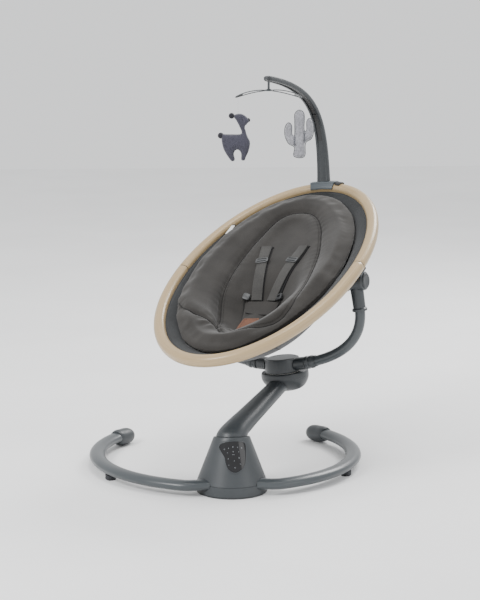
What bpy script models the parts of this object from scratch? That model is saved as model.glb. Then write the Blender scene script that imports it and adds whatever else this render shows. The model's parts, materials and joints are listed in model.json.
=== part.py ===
"""Baby swing: a seat on a fork, carried by an arm that swings on a tilted axis in a floor base.

Metres, +Z up, front at -Y. The origin is where the swing axis meets the floor, on the underside of
the base housing. Everything past the base is built straight back along +Y, then an empty turns it
about the swing axis to where the arm stands.
"""

import math

import bmesh
import bpy
from mathutils import Matrix, Vector

GAP = 0.0003            # between two pieces that touch
RUNNING_GAP = 0.0008    # between two pieces that turn against each other

# Base housing: an upright cone whose roof is square to the tilted swing axis.
SWING_TILT = math.radians(10.4)     # the swing axis leans back by this
HOUSING_Y = 0.020                   # the cone's centre, behind the origin
HOUSING_FOOT_R = 0.076
HOUSING_BAND_R = HOUSING_FOOT_R - 0.0025
HOUSING_BAND_TOP = 0.024
HOUSING_TOP_R = 0.0385
HOUSING_TOP = 0.1187                # roof's height along the swing axis
HOUSING_WALL = 0.003
PLATE_THICKNESS = 0.004
PLATE_INSET = 0.0006

# Control panel on the front of the cone.
PANEL_HEIGHT = HOUSING_TOP * 0.514
PANEL_HALF_WIDTH = HOUSING_TOP_R * 0.70
PANEL_MID_HEIGHT = HOUSING_TOP * 0.720
PANEL_SET_IN = 0.0022
PANEL_PROUD = 0.0005
BEZEL_PROUD = 0.0013
BEZEL_WIDTH = 0.0024

# Floor tube: two oval tubes on one circle, open at the back.
FLOOR_RING_R = 0.2845
FLOOR_RING_Y = FLOOR_RING_R - 0.0377
FLOOR_TUBE_HALF_WIDTH = 0.0175
FLOOR_TUBE_HALF_HEIGHT = 0.0113
FLOOR_TUBE_Z = 0.0228
FLOOR_TUBE_INNER_X = HOUSING_BAND_R * 0.64      # where each tube ends inside the housing
CAP_START = math.radians(31.5)      # angle behind the ring's widest line
CAP_LENGTH = 0.060
CAP_SEAM = 0.001
CAP_HALF_WIDTH = FLOOR_TUBE_HALF_WIDTH + 0.0025
CAP_HALF_HEIGHT = 0.0190
FOOT_ANGLE = math.radians(-26)
FOOT_HALF_LENGTH = 0.012
FOOT_HALF_WIDTH = 0.0105

# Drive inside the housing.
SHAFT_R = 0.006
SHAFT_BOTTOM = 0.040
SHAFT_TOP = HOUSING_TOP + 0.0163
BUSH_FLANGE_R = 0.017
BUSH_R = SHAFT_R + 0.0045
MOTOR_R = 0.027
MOTOR_BOTTOM = 0.013
MOTOR_TOP = SHAFT_BOTTOM + 0.012
BOARD_SIZE = (0.034, 0.0016, 0.042)
BOARD_BEHIND = 0.014                # the board stands this far behind the panel
SPEAKER_R = 0.016
SPEAKER_Z = 0.045
INLET_R = 0.0045
INLET_HOLE_R = 0.0030
INLET_PIN_R = 0.0011
INLET_Z = 0.018
INLET_DEPTH = 0.018

# Hub: a fixed cup on the arm's end, and a drum that turns on it.
FORK_TUBE_R = 0.0113
SOCKET_WALL = 0.0025
ARM_REACH = 0.2717                  # hub axis behind the origin
DRUM_R = 0.0385
DRUM_HEIGHT = 2 * (FORK_TUBE_R + SOCKET_WALL) + 0.0021
DRUM_WALL = 0.004
CUP_R = DRUM_R + 0.014
CUP_TOP = HOUSING_TOP + 0.0832
CUP_DEPTH = 0.0465
CUP_SET_BACK = 0.0085               # the cup's rim is centred behind the hub axis
CUP_WELL = 0.017
SPINDLE_R = 0.006
SPINDLE_DEPTH = 0.0307              # how far the spindle goes down into the cup
SPINDLE_HEAD = (0.011, 0.005)       # radius and height
LID_THICKNESS = 0.003
BEARING_R = DRUM_R - 0.0005
BEARING_WIDTH = 0.010

# Arm, from the cone's roof up to the hub. Distances are in the plane that the arm lies in.
ARM_FOOT_R = HOUSING_TOP_R - 0.005
ARM_ELBOW = (0.0275, 0.0195)        # half width and half thickness after the elbow
ARM_END = (0.0208, 0.0170)          # the same where it meets the hub
ARM_END_DROP = 0.0200               # the arm's centre line under the cup's rim, at the hub axis
# The elbow's upper and lower edges, (back, up) from the middle of the roof.
ELBOW_UPPER = ((-0.0270, 0.0145), (-0.0118, 0.0232), (0.0122, 0.0301), (0.0432, 0.0370), (0.0762, 0.0434))
ELBOW_LOWER = ((0.0362, -0.0052), (0.0402, -0.0057), (0.0474, -0.0051), (0.0624, -0.0008), (0.0860, 0.0056))

# Seat ring and the bowl in it, in the seat's frame: x across, y towards the head, z out of the seat, from the
# pivot line.
RECLINE = math.radians(23.8)
RING_HALF_WIDTH = 0.2176
RING_HALF_LENGTH = 0.3373
RING_SECTION_R = 0.0128
RING_SQUARENESS = 2.3
PIVOT_HOUSING_R = 0.0205
RING_Y = -0.0090
RING_Z = PIVOT_HOUSING_R + RING_SECTION_R + 0.0053
BOWL_WALL = 0.0035
BOWL_DEPTH = 0.134
PAD_CLEARANCE = 0.003
HOLLOW_DEPTH = 0.061

# Recline pivots. The bracket hangs inside the ring, and the pivot's housing stands just outside the bracket.
LUG_X = RING_HALF_WIDTH - 0.0384
LUG_THICKNESS = 0.0048
LUG_HALF_LENGTH = 0.016
LUG_FLANGE_OUT = 0.045
PIVOT_INNER_X = LUG_X + LUG_THICKNESS + RUNNING_GAP
PIVOT_LENGTH = 0.0375
PIN_R = 0.0058
BUTTON_R = PIVOT_HOUSING_R - 0.0037
BUTTON_LENGTH = 0.0105
BUTTON_TRAVEL = 0.003

# Fork: two bent tubes from the drum to the recline pivots.
SLEEVE_WALL = 0.0032
SLEEVE_R = FORK_TUBE_R + SLEEVE_WALL
SLEEVE_FLANGE_R = SLEEVE_R + 0.002
FORK_TOP_X = PIVOT_INNER_X + SLEEVE_R + 0.0005  # the post's middle where it meets the pivot
FORK_HALF_SPAN = FORK_TOP_X + 0.0030
FORK_ROOT_X = DRUM_R + 0.0035
FORK_ROOT_Z = CUP_TOP + 0.0177
FORK_STRAIGHT_Z = FORK_ROOT_Z + 0.1163          # the bend ends here, and the sleeve starts
PIVOT_Z = FORK_STRAIGHT_Z + 0.0655
FORK_SLOPE = 0.09                   # the tube's rise near the drum
SOCKET_END_X = DRUM_R + 0.0215
COLLAR_LENGTH = 0.026

# Harness, lying on the insert.
SHOULDER_X, SHOULDER_Y = 0.047, 0.090
WAIST_X, WAIST_Y = 0.019, -0.056
STRAP_THICKNESS = 0.003
STRAP_HALF_WIDTH = 0.0115
STRAP_LIFT = 0.0045
ADJUSTER_SHARE = 0.33
ADJUSTER_THICKNESS = 0.004
BUCKLE_THICKNESS = 0.007
CROTCH_LIFT = 0.007
CROTCH_THICKNESS = 0.006
PATCH_THICKNESS = 0.0015
TAG_SIZE = (0.009, 0.044, 0.0012)

# Toy bar, in the seat's frame.
RING_STEPS = 22                     # stretches along each half of the ring; the saddle spans the middle two
SADDLE_FIT = 0.0006
SADDLE_WALL = 0.0025
SADDLE_PAD = 0.0012                 # flat under the mast, proud of the saddle
SADDLE_WRAP = math.radians(86)      # each way from the saddle's crown, so that it lifts straight off
LATCH_LENGTH = 0.013
BAR_FOOT_WIDTH = 0.030
BAR_TIP_WIDTH = 0.017
BAR_FOOT_THICKNESS = 0.017
BAR_TIP_THICKNESS = 0.012
BAR_CURVE = ((0.086, 0.140), (0.096, 0.215), (-0.100, 0.3455))     # from the ring's head end
BAR_JOINT = 0.46                    # share of the curve below the joint
BAR_JOINT_GAP = 0.001
CHANNEL_DEPTH = 0.005

# Mobile, hanging from the bar's tip.
MOBILE_TURN = math.radians(-3.9)
MOBILE_PLACE = 0.98                 # share of the bar's curve where it hangs
MOBILE_STEM = 0.0155
MOBILE_STEM_R = 0.0026
MOBILE_SPAN = 0.0728
MOBILE_DROOP = 0.0150
BOW_DROP = 0.0037                   # the loops' root under the stem
LOOP_HALF_WIDTH = 0.008
LOOP_ROLL = math.radians(25)
LOOP_ROD_R = 0.0011
STRING_R = 0.0006
LLAMA_STRING = 0.034
LLAMA_THICKNESS = 0.026
CACTUS_STRING = 0.0265
CACTUS_THICKNESS = 0.014
TOY_TIP_INSET = 0.0055              # each string hangs this far in from its arm's tip

ARM_SWUNG = math.radians(-33.35)    # where the arm stands about the swing axis


# ---------------------------------------------------------------- scene and materials

def clear_scene():
    for old in list(bpy.data.objects):
        bpy.data.objects.remove(old)


def material(name, colour, roughness, metallic=0.0):
    made = bpy.data.materials.new(name)
    made.use_nodes = True
    shader = made.node_tree.nodes["Principled BSDF"]
    shader.inputs["Base Color"].default_value = (*colour, 1)
    shader.inputs["Roughness"].default_value = roughness
    shader.inputs["Metallic"].default_value = metallic
    return made


def place_empty(name, matrix, parent=None):
    empty = bpy.data.objects.new(name, None)
    empty.parent = parent
    empty.matrix_local = matrix
    bpy.context.scene.collection.objects.link(empty)
    return empty


def node(name, mesh_data, finish, parent=None, flat_above=35):
    """One object from bmesh data, smooth except at edges sharper than flat_above degrees."""
    bmesh.ops.recalc_face_normals(mesh_data, faces=mesh_data.faces)
    mesh = bpy.data.meshes.new(name)
    mesh_data.to_mesh(mesh)
    mesh_data.free()
    mesh.shade_smooth()
    mesh.set_sharp_from_angle(angle=math.radians(flat_above))
    if finish:
        mesh.materials.append(finish)
    made = bpy.data.objects.new(name, mesh)
    made.parent = parent
    bpy.context.scene.collection.objects.link(made)
    return made


def helper(name, mesh_data, parent=None):
    """A hidden solid that other objects' Booleans use."""
    made = node(name, mesh_data, None, parent)
    made.hide_render = True
    made.display_type = "WIRE"
    return made


def combine(target, tool, operation="DIFFERENCE"):
    boolean = target.modifiers.new(tool.name, "BOOLEAN")
    boolean.operation = operation
    boolean.solver = "EXACT"
    boolean.object = tool


# ---------------------------------------------------------------- shapes

def loft(rings, wrap=False):
    """A closed solid through rings of points. wrap joins the last ring to the first."""
    built = bmesh.new()
    loops = [[built.verts.new(point) for point in ring] for ring in rings]
    pairs = list(zip(loops, loops[1:]))
    if wrap:
        pairs.append((loops[-1], loops[0]))
    for low, high in pairs:
        count = len(low)
        for i in range(count):
            j = (i + 1) % count
            built.faces.new((low[i], low[j], high[j], high[i]))
    if not wrap:
        built.faces.new(loops[0])
        built.faces.new(loops[-1])
    return built


def turned(profile, steps, frame=Matrix.Identity(4)):
    """A solid turned about the frame's Z from (radius, height) points, closed through the axis if one is on it."""
    built = bmesh.new()
    spokes = []
    for radius, height in profile:
        if radius < 1e-6:
            spokes.append([built.verts.new(frame @ Vector((0, 0, height)))])
            continue
        angles = [math.tau * i / steps for i in range(steps)]
        ring = [frame @ Vector((radius * math.cos(a), radius * math.sin(a), height)) for a in angles]
        spokes.append([built.verts.new(point) for point in ring])
    for low, high in zip(spokes, spokes[1:] + spokes[:1]):
        if len(low) == 1 and len(high) == 1:
            continue
        for i in range(steps):
            j = (i + 1) % steps
            corners = [low[i % len(low)], low[j % len(low)], high[j % len(high)], high[i % len(high)]]
            built.faces.new(list(dict.fromkeys(corners)))
    return built


def ellipse(half_width, half_height, steps, power=2.0):
    """Points round an ellipse, or round a softened rectangle for a power above 2."""
    points = []
    for i in range(steps):
        angle = math.tau * (i + 0.5) / steps
        c, s = math.cos(angle), math.sin(angle)
        points.append((half_width * math.copysign(abs(c) ** (2 / power), c),
                       half_height * math.copysign(abs(s) ** (2 / power), s)))
    return points


def end_direction(first, second, third):
    """The direction that a curve through three points sets off in."""
    near, far = (second - first).length, (third - second).length
    both = near + far
    return ((second - first) * (both / near) - (third - first) * (near / both)).normalized()


def directions(path):
    if len(path) == 2:
        return [(path[1] - path[0]).normalized()] * 2
    middle = [(after - before).normalized() for before, after in zip(path, path[2:])]
    return [end_direction(*path[:3])] + middle + [-end_direction(*path[:-4:-1])]


def sweep_rings(path, sections, side):
    """Rings of each section (across, up) set square to the path. side is the across direction."""
    side = Vector(side).normalized()
    rings = []
    for i, (point, along) in enumerate(zip(path, directions(path))):
        across = (side - along * side.dot(along)).normalized()
        up = across.cross(along)
        rings.append([point + across * u + up * v for u, v in sections[i]])
    return rings


def sweep(path, sections, side):
    return loft(sweep_rings(path, sections, side))


def sleeve(path, outer_radii, inner_r, steps, side):
    """A hollow round sleeve along a path, with an outer radius at each of its points."""
    outer = sweep_rings(path, [ellipse(r, r, steps) for r in outer_radii], side)
    inner = sweep_rings(path, [ellipse(inner_r, inner_r, steps)] * len(path), side)
    return loft(outer + inner[::-1], wrap=True)


def bezier(p0, p1, p2, p3, steps, start=0.0, end=1.0):
    points = []
    for i in range(steps + 1):
        t = start + (end - start) * i / steps
        s = 1 - t
        points.append(p0 * s ** 3 + p1 * (3 * s * s * t) + p2 * (3 * s * t * t) + p3 * t ** 3)
    return points


def smooth_outline(corners, steps):
    """A closed smooth curve through the corners, steps points between each two."""
    points = []
    count = len(corners)
    for i in range(count):
        a, b, c, d = (Vector(corners[(i + k) % count]) for k in (-1, 0, 1, 2))
        for k in range(steps):
            t = k / steps
            points.append(0.5 * (2 * b + (c - a) * t + (2 * a - 5 * b + 4 * c - d) * t * t
                                 + (3 * b - a - 3 * c + d) * t ** 3))
    return points


def grown(outline, distance):
    """The closed outline moved outwards by a distance; it runs anticlockwise."""
    moved = []
    for i, point in enumerate(outline):
        along = (outline[(i + 1) % len(outline)] - outline[i - 1]).normalized()
        moved.append(point + Vector((along.y, -along.x)) * distance)
    return moved


def prism(outline, place, low, high):
    """The outline's area between two levels; place turns (u, v, level) into a point."""
    return loft([[place(p[0], p[1], level) for p in outline] for level in (low, high)])


def block(low, high):
    corners = [(low[0], low[1]), (high[0], low[1]), (high[0], high[1]), (low[0], high[1])]
    return loft([[Vector((x, y, z)) for x, y in corners] for z in (low[2], high[2])])


# ---------------------------------------------------------------- base

AXIS = Matrix.Rotation(-SWING_TILT, 4, "X")     # its Z is the swing axis
CONE_STEPS = 32


def round_ring(radius, height, frame):
    angles = [math.tau * i / CONE_STEPS for i in range(CONE_STEPS)]
    return [frame @ Vector((radius * math.cos(a), radius * math.sin(a), height)) for a in angles]


def cone_rings(offset):
    """Rings up the housing's outside, moved out by an offset, from above the bottom plate to the roof's rim."""
    upright = Matrix.Translation((0, HOUSING_Y, 0))
    middle_r = HOUSING_FOOT_R + (HOUSING_BAND_R - HOUSING_FOOT_R) / 3
    profile = ((HOUSING_FOOT_R, PLATE_THICKNESS + GAP), (middle_r, HOUSING_BAND_TOP / 2),
               (HOUSING_BAND_R, HOUSING_BAND_TOP))
    rings = [round_ring(radius + offset, height, upright) for radius, height in profile]
    return rings + [round_ring(HOUSING_TOP_R + offset, HOUSING_TOP, AXIS)]


def cone_layer(inside, outside):
    """A closed skin between two offsets of the housing's outside."""
    return loft(cone_rings(outside) + cone_rings(inside)[::-1], wrap=True)


def panel_outline(offset=0.0):
    """The control panel's leaning shield, wide at the top, seen from the front."""
    shape = ((0.95, 0.30), (0.98, 0.62), (0.92, 0.90), (0.52, 1.0), (0.0, 1.02), (-0.48, 0.99), (-0.90, 0.90),
             (-1.05, 0.76), (-0.88, 0.58), (-0.66, 0.40), (-0.58, 0.18), (-0.36, -0.06), (0.16, -0.16),
             (0.66, -0.04), (0.88, 0.12))
    low = PANEL_MID_HEIGHT - PANEL_HEIGHT / 2
    corners = [(u * PANEL_HALF_WIDTH, low + PANEL_HEIGHT * (v + 0.16) / 1.18) for u, v in shape]
    return grown(smooth_outline(corners, 1), offset)


def front_prism(outline):
    return prism(outline, lambda u, v, level: Vector((u, level, v)), HOUSING_Y - 2 * HOUSING_FOOT_R, 0.0)


def floor_arc(start, end, steps, side):
    """Points on the floor ring; the angle is 0 at its widest and grows towards the back."""
    points = []
    for i in range(steps + 1):
        a = start + (end - start) * i / steps
        points.append(Vector((side * FLOOR_RING_R * math.cos(a), FLOOR_RING_Y + FLOOR_RING_R * math.sin(a), FLOOR_TUBE_Z)))
    return points


def floor_tube(side, grow=0.0):
    inner = -math.acos(FLOOR_TUBE_INNER_X / FLOOR_RING_R)
    path = floor_arc(inner, CAP_START, 18, side)
    section = ellipse(FLOOR_TUBE_HALF_HEIGHT + grow, FLOOR_TUBE_HALF_WIDTH + grow, 12)
    return sweep(path, [section] * len(path), (0, 0, 1))


def end_cap(side):
    """A fat rounded shoe that carries on from the tube's end and rests on the floor."""
    start = CAP_START + CAP_SEAM / FLOOR_RING_R
    turn = CAP_LENGTH / FLOOR_RING_R
    shares = (0.0, 0.12, 0.32, 0.55, 0.78, 0.92, 0.985, 1.0)
    fullness = (0.80, 0.92, 0.99, 1.0, 0.90, 0.68, 0.40, 0.16)
    path = []
    for share in shares:
        point = floor_arc(start + turn * share, start + turn, 1, side)[0]
        fall = min(share / 0.45, 1.0)
        point.z += (CAP_HALF_HEIGHT - FLOOR_TUBE_Z) * fall * fall * (3 - 2 * fall)
        path.append(point)
    sections = [ellipse(CAP_HALF_HEIGHT * f, CAP_HALF_WIDTH * f, 12) for f in fullness]
    return sweep(path, sections, (0, 0, 1))


def foot(side):
    """A rubber pad under the tube, down to the floor."""
    centre = floor_arc(FOOT_ANGLE, 0, 1, side)[0]
    top = FLOOR_TUBE_Z - FLOOR_TUBE_HALF_HEIGHT - GAP
    turn = side * (math.pi / 2 + FOOT_ANGLE)
    rings = []
    for spread, height in ((0.94, 0.0), (1.0, 0.002), (1.0, top - 0.001), (0.94, top)):
        ring = [Vector((u * spread, v * spread, 0)) for u, v in ellipse(FOOT_HALF_LENGTH, FOOT_HALF_WIDTH, 12, 3)]
        turned_ring = [Matrix.Rotation(turn, 3, "Z") @ p for p in ring]
        rings.append([Vector((centre.x, centre.y, height)) + p for p in turned_ring])
    return loft(rings)


def make_housing(finish):
    roof_hole = BUSH_R + GAP
    inner = cone_rings(-HOUSING_WALL)[:-1]
    roof = HOUSING_TOP - HOUSING_WALL
    rings = cone_rings(0) + [round_ring(roof_hole, HOUSING_TOP, AXIS), round_ring(roof_hole, roof, AXIS)]
    rings += [round_ring(HOUSING_TOP_R - HOUSING_WALL, roof, AXIS)] + inner[::-1]
    housing = node("base_housing", loft(rings, wrap=True), finish)
    combine(housing, helper("window_cutter", front_prism(panel_outline(GAP))))
    for name, side in (("left", -1), ("right", 1)):
        combine(housing, helper("tube_way_" + name, floor_tube(side, GAP)))
    mouth = inlet_mouth()
    way = [(0, mouth - INLET_DEPTH * 2), (INLET_R + GAP, mouth - INLET_DEPTH * 2), (INLET_R + GAP, mouth + INLET_DEPTH),
           (0, mouth + INLET_DEPTH)]
    combine(housing, helper("inlet_way", turned(way, 16, facing_back(0, INLET_Z))))


def inlet_mouth():
    return HOUSING_Y + HOUSING_BAND_R + 0.0015


def facing_back(y, z):
    """A frame whose Z points to the back."""
    return Matrix.Translation((0, y, z)) @ Matrix.Rotation(-math.pi / 2, 4, "X")


def make_panel(bezel_finish, panel_finish):
    panel = node("control_panel", cone_layer(-PANEL_SET_IN, PANEL_PROUD), panel_finish)
    combine(panel, helper("panel_area", front_prism(panel_outline())), "INTERSECT")
    bezel = node("control_bezel", cone_layer(GAP, BEZEL_PROUD), bezel_finish)
    combine(bezel, helper("bezel_outside", front_prism(panel_outline(BEZEL_WIDTH))), "INTERSECT")
    combine(bezel, helper("bezel_inside", front_prism(panel_outline(GAP))))


def make_drive(board_finish, metal, plastic, dark):
    """What the housing holds: bush, sealed geared motor, control board, speaker and power inlet."""
    roof = HOUSING_TOP - HOUSING_WALL - GAP
    bore = SHAFT_R + GAP
    node("shaft_bush", turned([(bore, roof - 0.003), (BUSH_FLANGE_R, roof - 0.003), (BUSH_FLANGE_R, roof),
                               (BUSH_R, roof), (BUSH_R, HOUSING_TOP), (bore, HOUSING_TOP)], 18, AXIS), plastic)
    socket = SHAFT_BOTTOM - GAP
    node("geared_motor", turned([(0, MOTOR_BOTTOM), (MOTOR_R - 0.003, MOTOR_BOTTOM), (MOTOR_R, MOTOR_BOTTOM + 0.002),
                                 (MOTOR_R, MOTOR_TOP - 0.004), (MOTOR_R - 0.004, MOTOR_TOP), (bore, MOTOR_TOP),
                                 (bore, socket), (0, socket)], 18, AXIS), metal)
    rise, run = HOUSING_TOP - HOUSING_BAND_TOP, HOUSING_BAND_R - HOUSING_TOP_R
    lean = math.atan2(run, rise)
    front = HOUSING_BAND_R - run * (PANEL_MID_HEIGHT - HOUSING_BAND_TOP) / rise
    half = Vector(BOARD_SIZE) / 2
    board = node("control_board", block(-half, half), board_finish)
    board.location = (0, HOUSING_Y - front + BOARD_BEHIND, PANEL_MID_HEIGHT - 0.010)
    board.rotation_euler = (-lean, 0, 0)
    cone = [(0, 0), (0.009, 0), (0.009, 0.004), (SPEAKER_R, 0.006), (SPEAKER_R, 0.008), (SPEAKER_R - 0.002, 0.008),
            (0.004, 0.005), (0, 0.0055)]
    node("speaker", turned(cone, 16, facing_back(HOUSING_Y + HOUSING_BAND_R * 0.54, SPEAKER_Z)), dark)
    mouth = inlet_mouth()
    socket = [(0, mouth - INLET_DEPTH), (INLET_R, mouth - INLET_DEPTH), (INLET_R, mouth), (INLET_HOLE_R, mouth),
              (INLET_HOLE_R, mouth - 0.010), (INLET_PIN_R, mouth - 0.010), (INLET_PIN_R, mouth - 0.002),
              (0, mouth - 0.002)]
    node("power_inlet", turned(socket, 12, facing_back(0, INLET_Z)), dark)


def make_base(mats):
    make_housing(mats["shell"])
    centre = Matrix.Translation((0, HOUSING_Y, 0))
    edge = HOUSING_FOOT_R - PLATE_INSET
    node("bottom_plate", turned([(0, 0), (edge - 0.001, 0), (edge, 0.001), (edge, PLATE_THICKNESS),
                                 (0, PLATE_THICKNESS)], CONE_STEPS, centre), mats["dark"])
    make_panel(mats["shell"], mats["panel"])
    make_drive(mats["board"], mats["steel"], mats["light"], mats["dark"])
    for name, side in (("left", -1), ("right", 1)):
        node("floor_tube_" + name, floor_tube(side), mats["tube"])
        node("end_cap_" + name, end_cap(side), mats["shell"])
        node("rubber_foot_" + name, foot(side), mats["rubber"])


# ---------------------------------------------------------------- swinging arm

def arm_point(y, z):
    return Vector((0, y, z))


def cup_rings(grow=0.0):
    """Rings down the hub's cup, which bulges backwards as it goes down."""
    rings = []
    for radius, drop, back in ((0.965, 0.0, 0), (1.0, 0.09, 0), (1.0, 0.28, 0), (0.935, 0.50, 0.0015),
                               (0.76, 0.76, 0.005), (0.50, 0.93, 0.010), (0.20, 1.0, 0.012)):
        centre = Vector((0, ARM_REACH + CUP_SET_BACK + back, CUP_TOP + grow * (1 - 2 * drop) - CUP_DEPTH * drop))
        rings.append([centre + Vector((u, v, 0)) for u, v in ellipse(CUP_R * radius + grow, CUP_R * radius + grow, 24)])
    return rings


def arm_rings(steps=18):
    """Rings up the arm: off the roof, round the elbow between its two edges, then a straight climb to the hub."""
    roof = AXIS @ Vector((0, 0, HOUSING_TOP + RUNNING_GAP))
    half = AXIS.to_3x3() @ Vector((0, ARM_FOOT_R, 0))
    edges = [(roof - half, roof + half)]
    edges += [(roof + arm_point(*high), roof + arm_point(*low)) for high, low in zip(ELBOW_UPPER, ELBOW_LOWER)]
    bend_end = (edges[-1][0] + edges[-1][1]) / 2
    hub_end = arm_point(ARM_REACH, CUP_TOP - ARM_END_DROP)
    square = Vector((1, 0, 0)).cross((hub_end - bend_end).normalized())
    bends = len(ELBOW_UPPER)
    widths = [ARM_FOOT_R + (ARM_ELBOW[0] - ARM_FOOT_R) * i / bends for i in range(bends + 1)]
    for share in (0.35, 0.7, 1.0):
        widths.append(ARM_ELBOW[0] + (ARM_END[0] - ARM_ELBOW[0]) * share)
        thick = square * (ARM_ELBOW[1] + (ARM_END[1] - ARM_ELBOW[1]) * share)
        middle = bend_end.lerp(hub_end, share)
        edges.append((middle + thick, middle - thick))
    rings = []
    for (high, low), half_width in zip(edges, widths):
        middle, reach = (high + low) / 2, (high - low) / 2
        rings.append([middle + Vector((half_width * u, 0, 0)) + reach * v for u, v in ellipse(1, 1, steps)])
    return rings


def make_arm(mats, swing):
    arm = node("swing_arm", loft(arm_rings()), mats["shell"], swing)
    combine(arm, helper("arm_end_cutter", loft(cup_rings(GAP)), swing))
    below = HOUSING_TOP - 0.015
    bore = [(0, below), (SHAFT_R + GAP, below), (SHAFT_R + GAP, SHAFT_TOP + GAP), (0, SHAFT_TOP + GAP)]
    combine(arm, helper("arm_bore", turned(bore, 14, AXIS), swing))
    node("swing_shaft", turned([(0, SHAFT_BOTTOM), (SHAFT_R, SHAFT_BOTTOM), (SHAFT_R, SHAFT_TOP), (0, SHAFT_TOP)],
                               14, AXIS), mats["steel"], swing)


def make_hub(mats, swing, turn):
    """The fixed cup and spindle, and the drum and lid that turn on them. turn's origin is on the hub axis."""
    hub = Matrix.Translation((0, ARM_REACH, 0))
    cup = node("hub_cup", loft(cup_rings()), mats["shell"], swing)
    floor_z = CUP_TOP - CUP_WELL
    bottom = CUP_TOP - SPINDLE_DEPTH
    boss_r = SPINDLE_R + 0.006
    well = [(0, bottom - GAP), (SPINDLE_R + GAP, bottom - GAP), (SPINDLE_R + GAP, CUP_TOP - 0.003),
            (boss_r, CUP_TOP - 0.003), (boss_r, floor_z), (BEARING_R + GAP, floor_z), (BEARING_R + GAP, CUP_TOP + 0.01),
            (0, CUP_TOP + 0.01)]
    combine(cup, helper("cup_well", turned(well, 20, hub), swing))
    drum_low = CUP_TOP + RUNNING_GAP
    head = drum_low + DRUM_WALL + RUNNING_GAP
    head_r, head_height = SPINDLE_HEAD
    node("turntable_spindle", turned([(0, bottom), (SPINDLE_R, bottom), (SPINDLE_R, head), (head_r, head),
                                      (head_r, head + head_height), (0, head + head_height)], 14, hub),
         mats["steel"], swing)
    race = BEARING_R - BEARING_WIDTH
    node("turntable_bearing", turned([(race, floor_z + GAP), (BEARING_R, floor_z + GAP), (BEARING_R, CUP_TOP + GAP),
                                      (race, CUP_TOP + GAP)], 20, hub), mats["light"], swing)
    make_drum(mats, turn, drum_low)


def make_drum(mats, turn, low):
    top = low + DRUM_HEIGHT
    seat_r = DRUM_R - DRUM_WALL
    ledge = top - LID_THICKNESS
    profile = [(SPINDLE_R + RUNNING_GAP, low), (DRUM_R - 0.0005, low), (DRUM_R, low + 0.002), (DRUM_R, top - 0.002),
               (DRUM_R - 0.001, top), (seat_r, top), (seat_r, ledge), (seat_r - 0.002, ledge),
               (seat_r - 0.002, low + DRUM_WALL), (SPINDLE_R + RUNNING_GAP, low + DRUM_WALL)]
    drum = node("hub_drum", turned(profile, 24), mats["shell"], turn)
    for name, side in (("left", -1), ("right", 1)):
        rings = []
        reach = FORK_TUBE_R + SOCKET_WALL
        for x, spread in ((seat_r + 0.0015, 0.0042), (DRUM_R + 0.0085, 0.0022), (SOCKET_END_X, 0)):
            z = FORK_ROOT_Z + FORK_SLOPE * (x - FORK_ROOT_X)
            rings.append([Vector((side * x, u, z + v)) for u, v in ellipse(reach + spread, reach, 12, 2.4)])
        combine(drum, helper("socket_" + name, loft(rings), turn), "UNION")
        combine(drum, helper("socket_bore_" + name, fork_tube(side, GAP), turn))
    lid_r = seat_r - GAP
    node("hub_lid", turned([(0, ledge + GAP), (lid_r, ledge + GAP), (lid_r, top + 0.0005), (lid_r - 0.001, top + 0.0015),
                            (lid_r - 0.003, top + 0.0010), (0, top + 0.0018)], 24), mats["shell"], turn)


# ---------------------------------------------------------------- fork and pivots

def fork_bend(side, steps=9):
    """The bent part of a fork tube, from the drum out and up."""
    root = Vector((side * FORK_ROOT_X, 0, FORK_ROOT_Z))
    out = Vector((side * FORK_HALF_SPAN * 0.635, 0, FORK_ROOT_Z + FORK_SLOPE * (FORK_HALF_SPAN * 0.635 - FORK_ROOT_X)))
    below = Vector((side * FORK_HALF_SPAN, 0, FORK_STRAIGHT_Z - 0.645 * (FORK_STRAIGHT_Z - FORK_ROOT_Z)))
    top = Vector((side * FORK_HALF_SPAN, 0, FORK_STRAIGHT_Z))
    return bezier(root, out, below, top, steps)


def fork_post(side, shares):
    """Points from the bend's end, leaning in a little, up into the pivot housing."""
    start = Vector((side * FORK_HALF_SPAN, 0, FORK_STRAIGHT_Z))
    end = Vector((side * FORK_TOP_X, 0, PIVOT_Z - 0.006))
    return [start.lerp(end, share) for share in shares]


def fork_tube(side, grow=0.0):
    path = fork_bend(side) + fork_post(side, (0.12, 0.4))
    if grow:
        path[0] = path[0] - Vector((side * GAP, 0, 0))
    section = ellipse(FORK_TUBE_R + grow, FORK_TUBE_R + grow, 10)
    return sweep(path, [section] * len(path), (0, 1, 0))


def make_fork(mats, turn):
    for name, side in (("left", -1), ("right", 1)):
        node("fork_tube_" + name, fork_tube(side), mats["tube"], turn)
        bend = fork_bend(side, 60)
        ways = [p for p in bend if SOCKET_END_X + GAP < abs(p.x) < SOCKET_END_X + GAP + COLLAR_LENGTH]
        collar = [ways[round(share * (len(ways) - 1))] for share in (0, 0.34, 0.66, 1)]
        radii = [SLEEVE_R, SLEEVE_R, SLEEVE_R - 0.0006, SLEEVE_R - 0.0016]
        node("fork_collar_" + name, sleeve(collar, radii, FORK_TUBE_R + 2 * GAP, 14, (0, 1, 0)), mats["shell"], turn)
        make_pivot(mats, turn, name, side)


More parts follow.
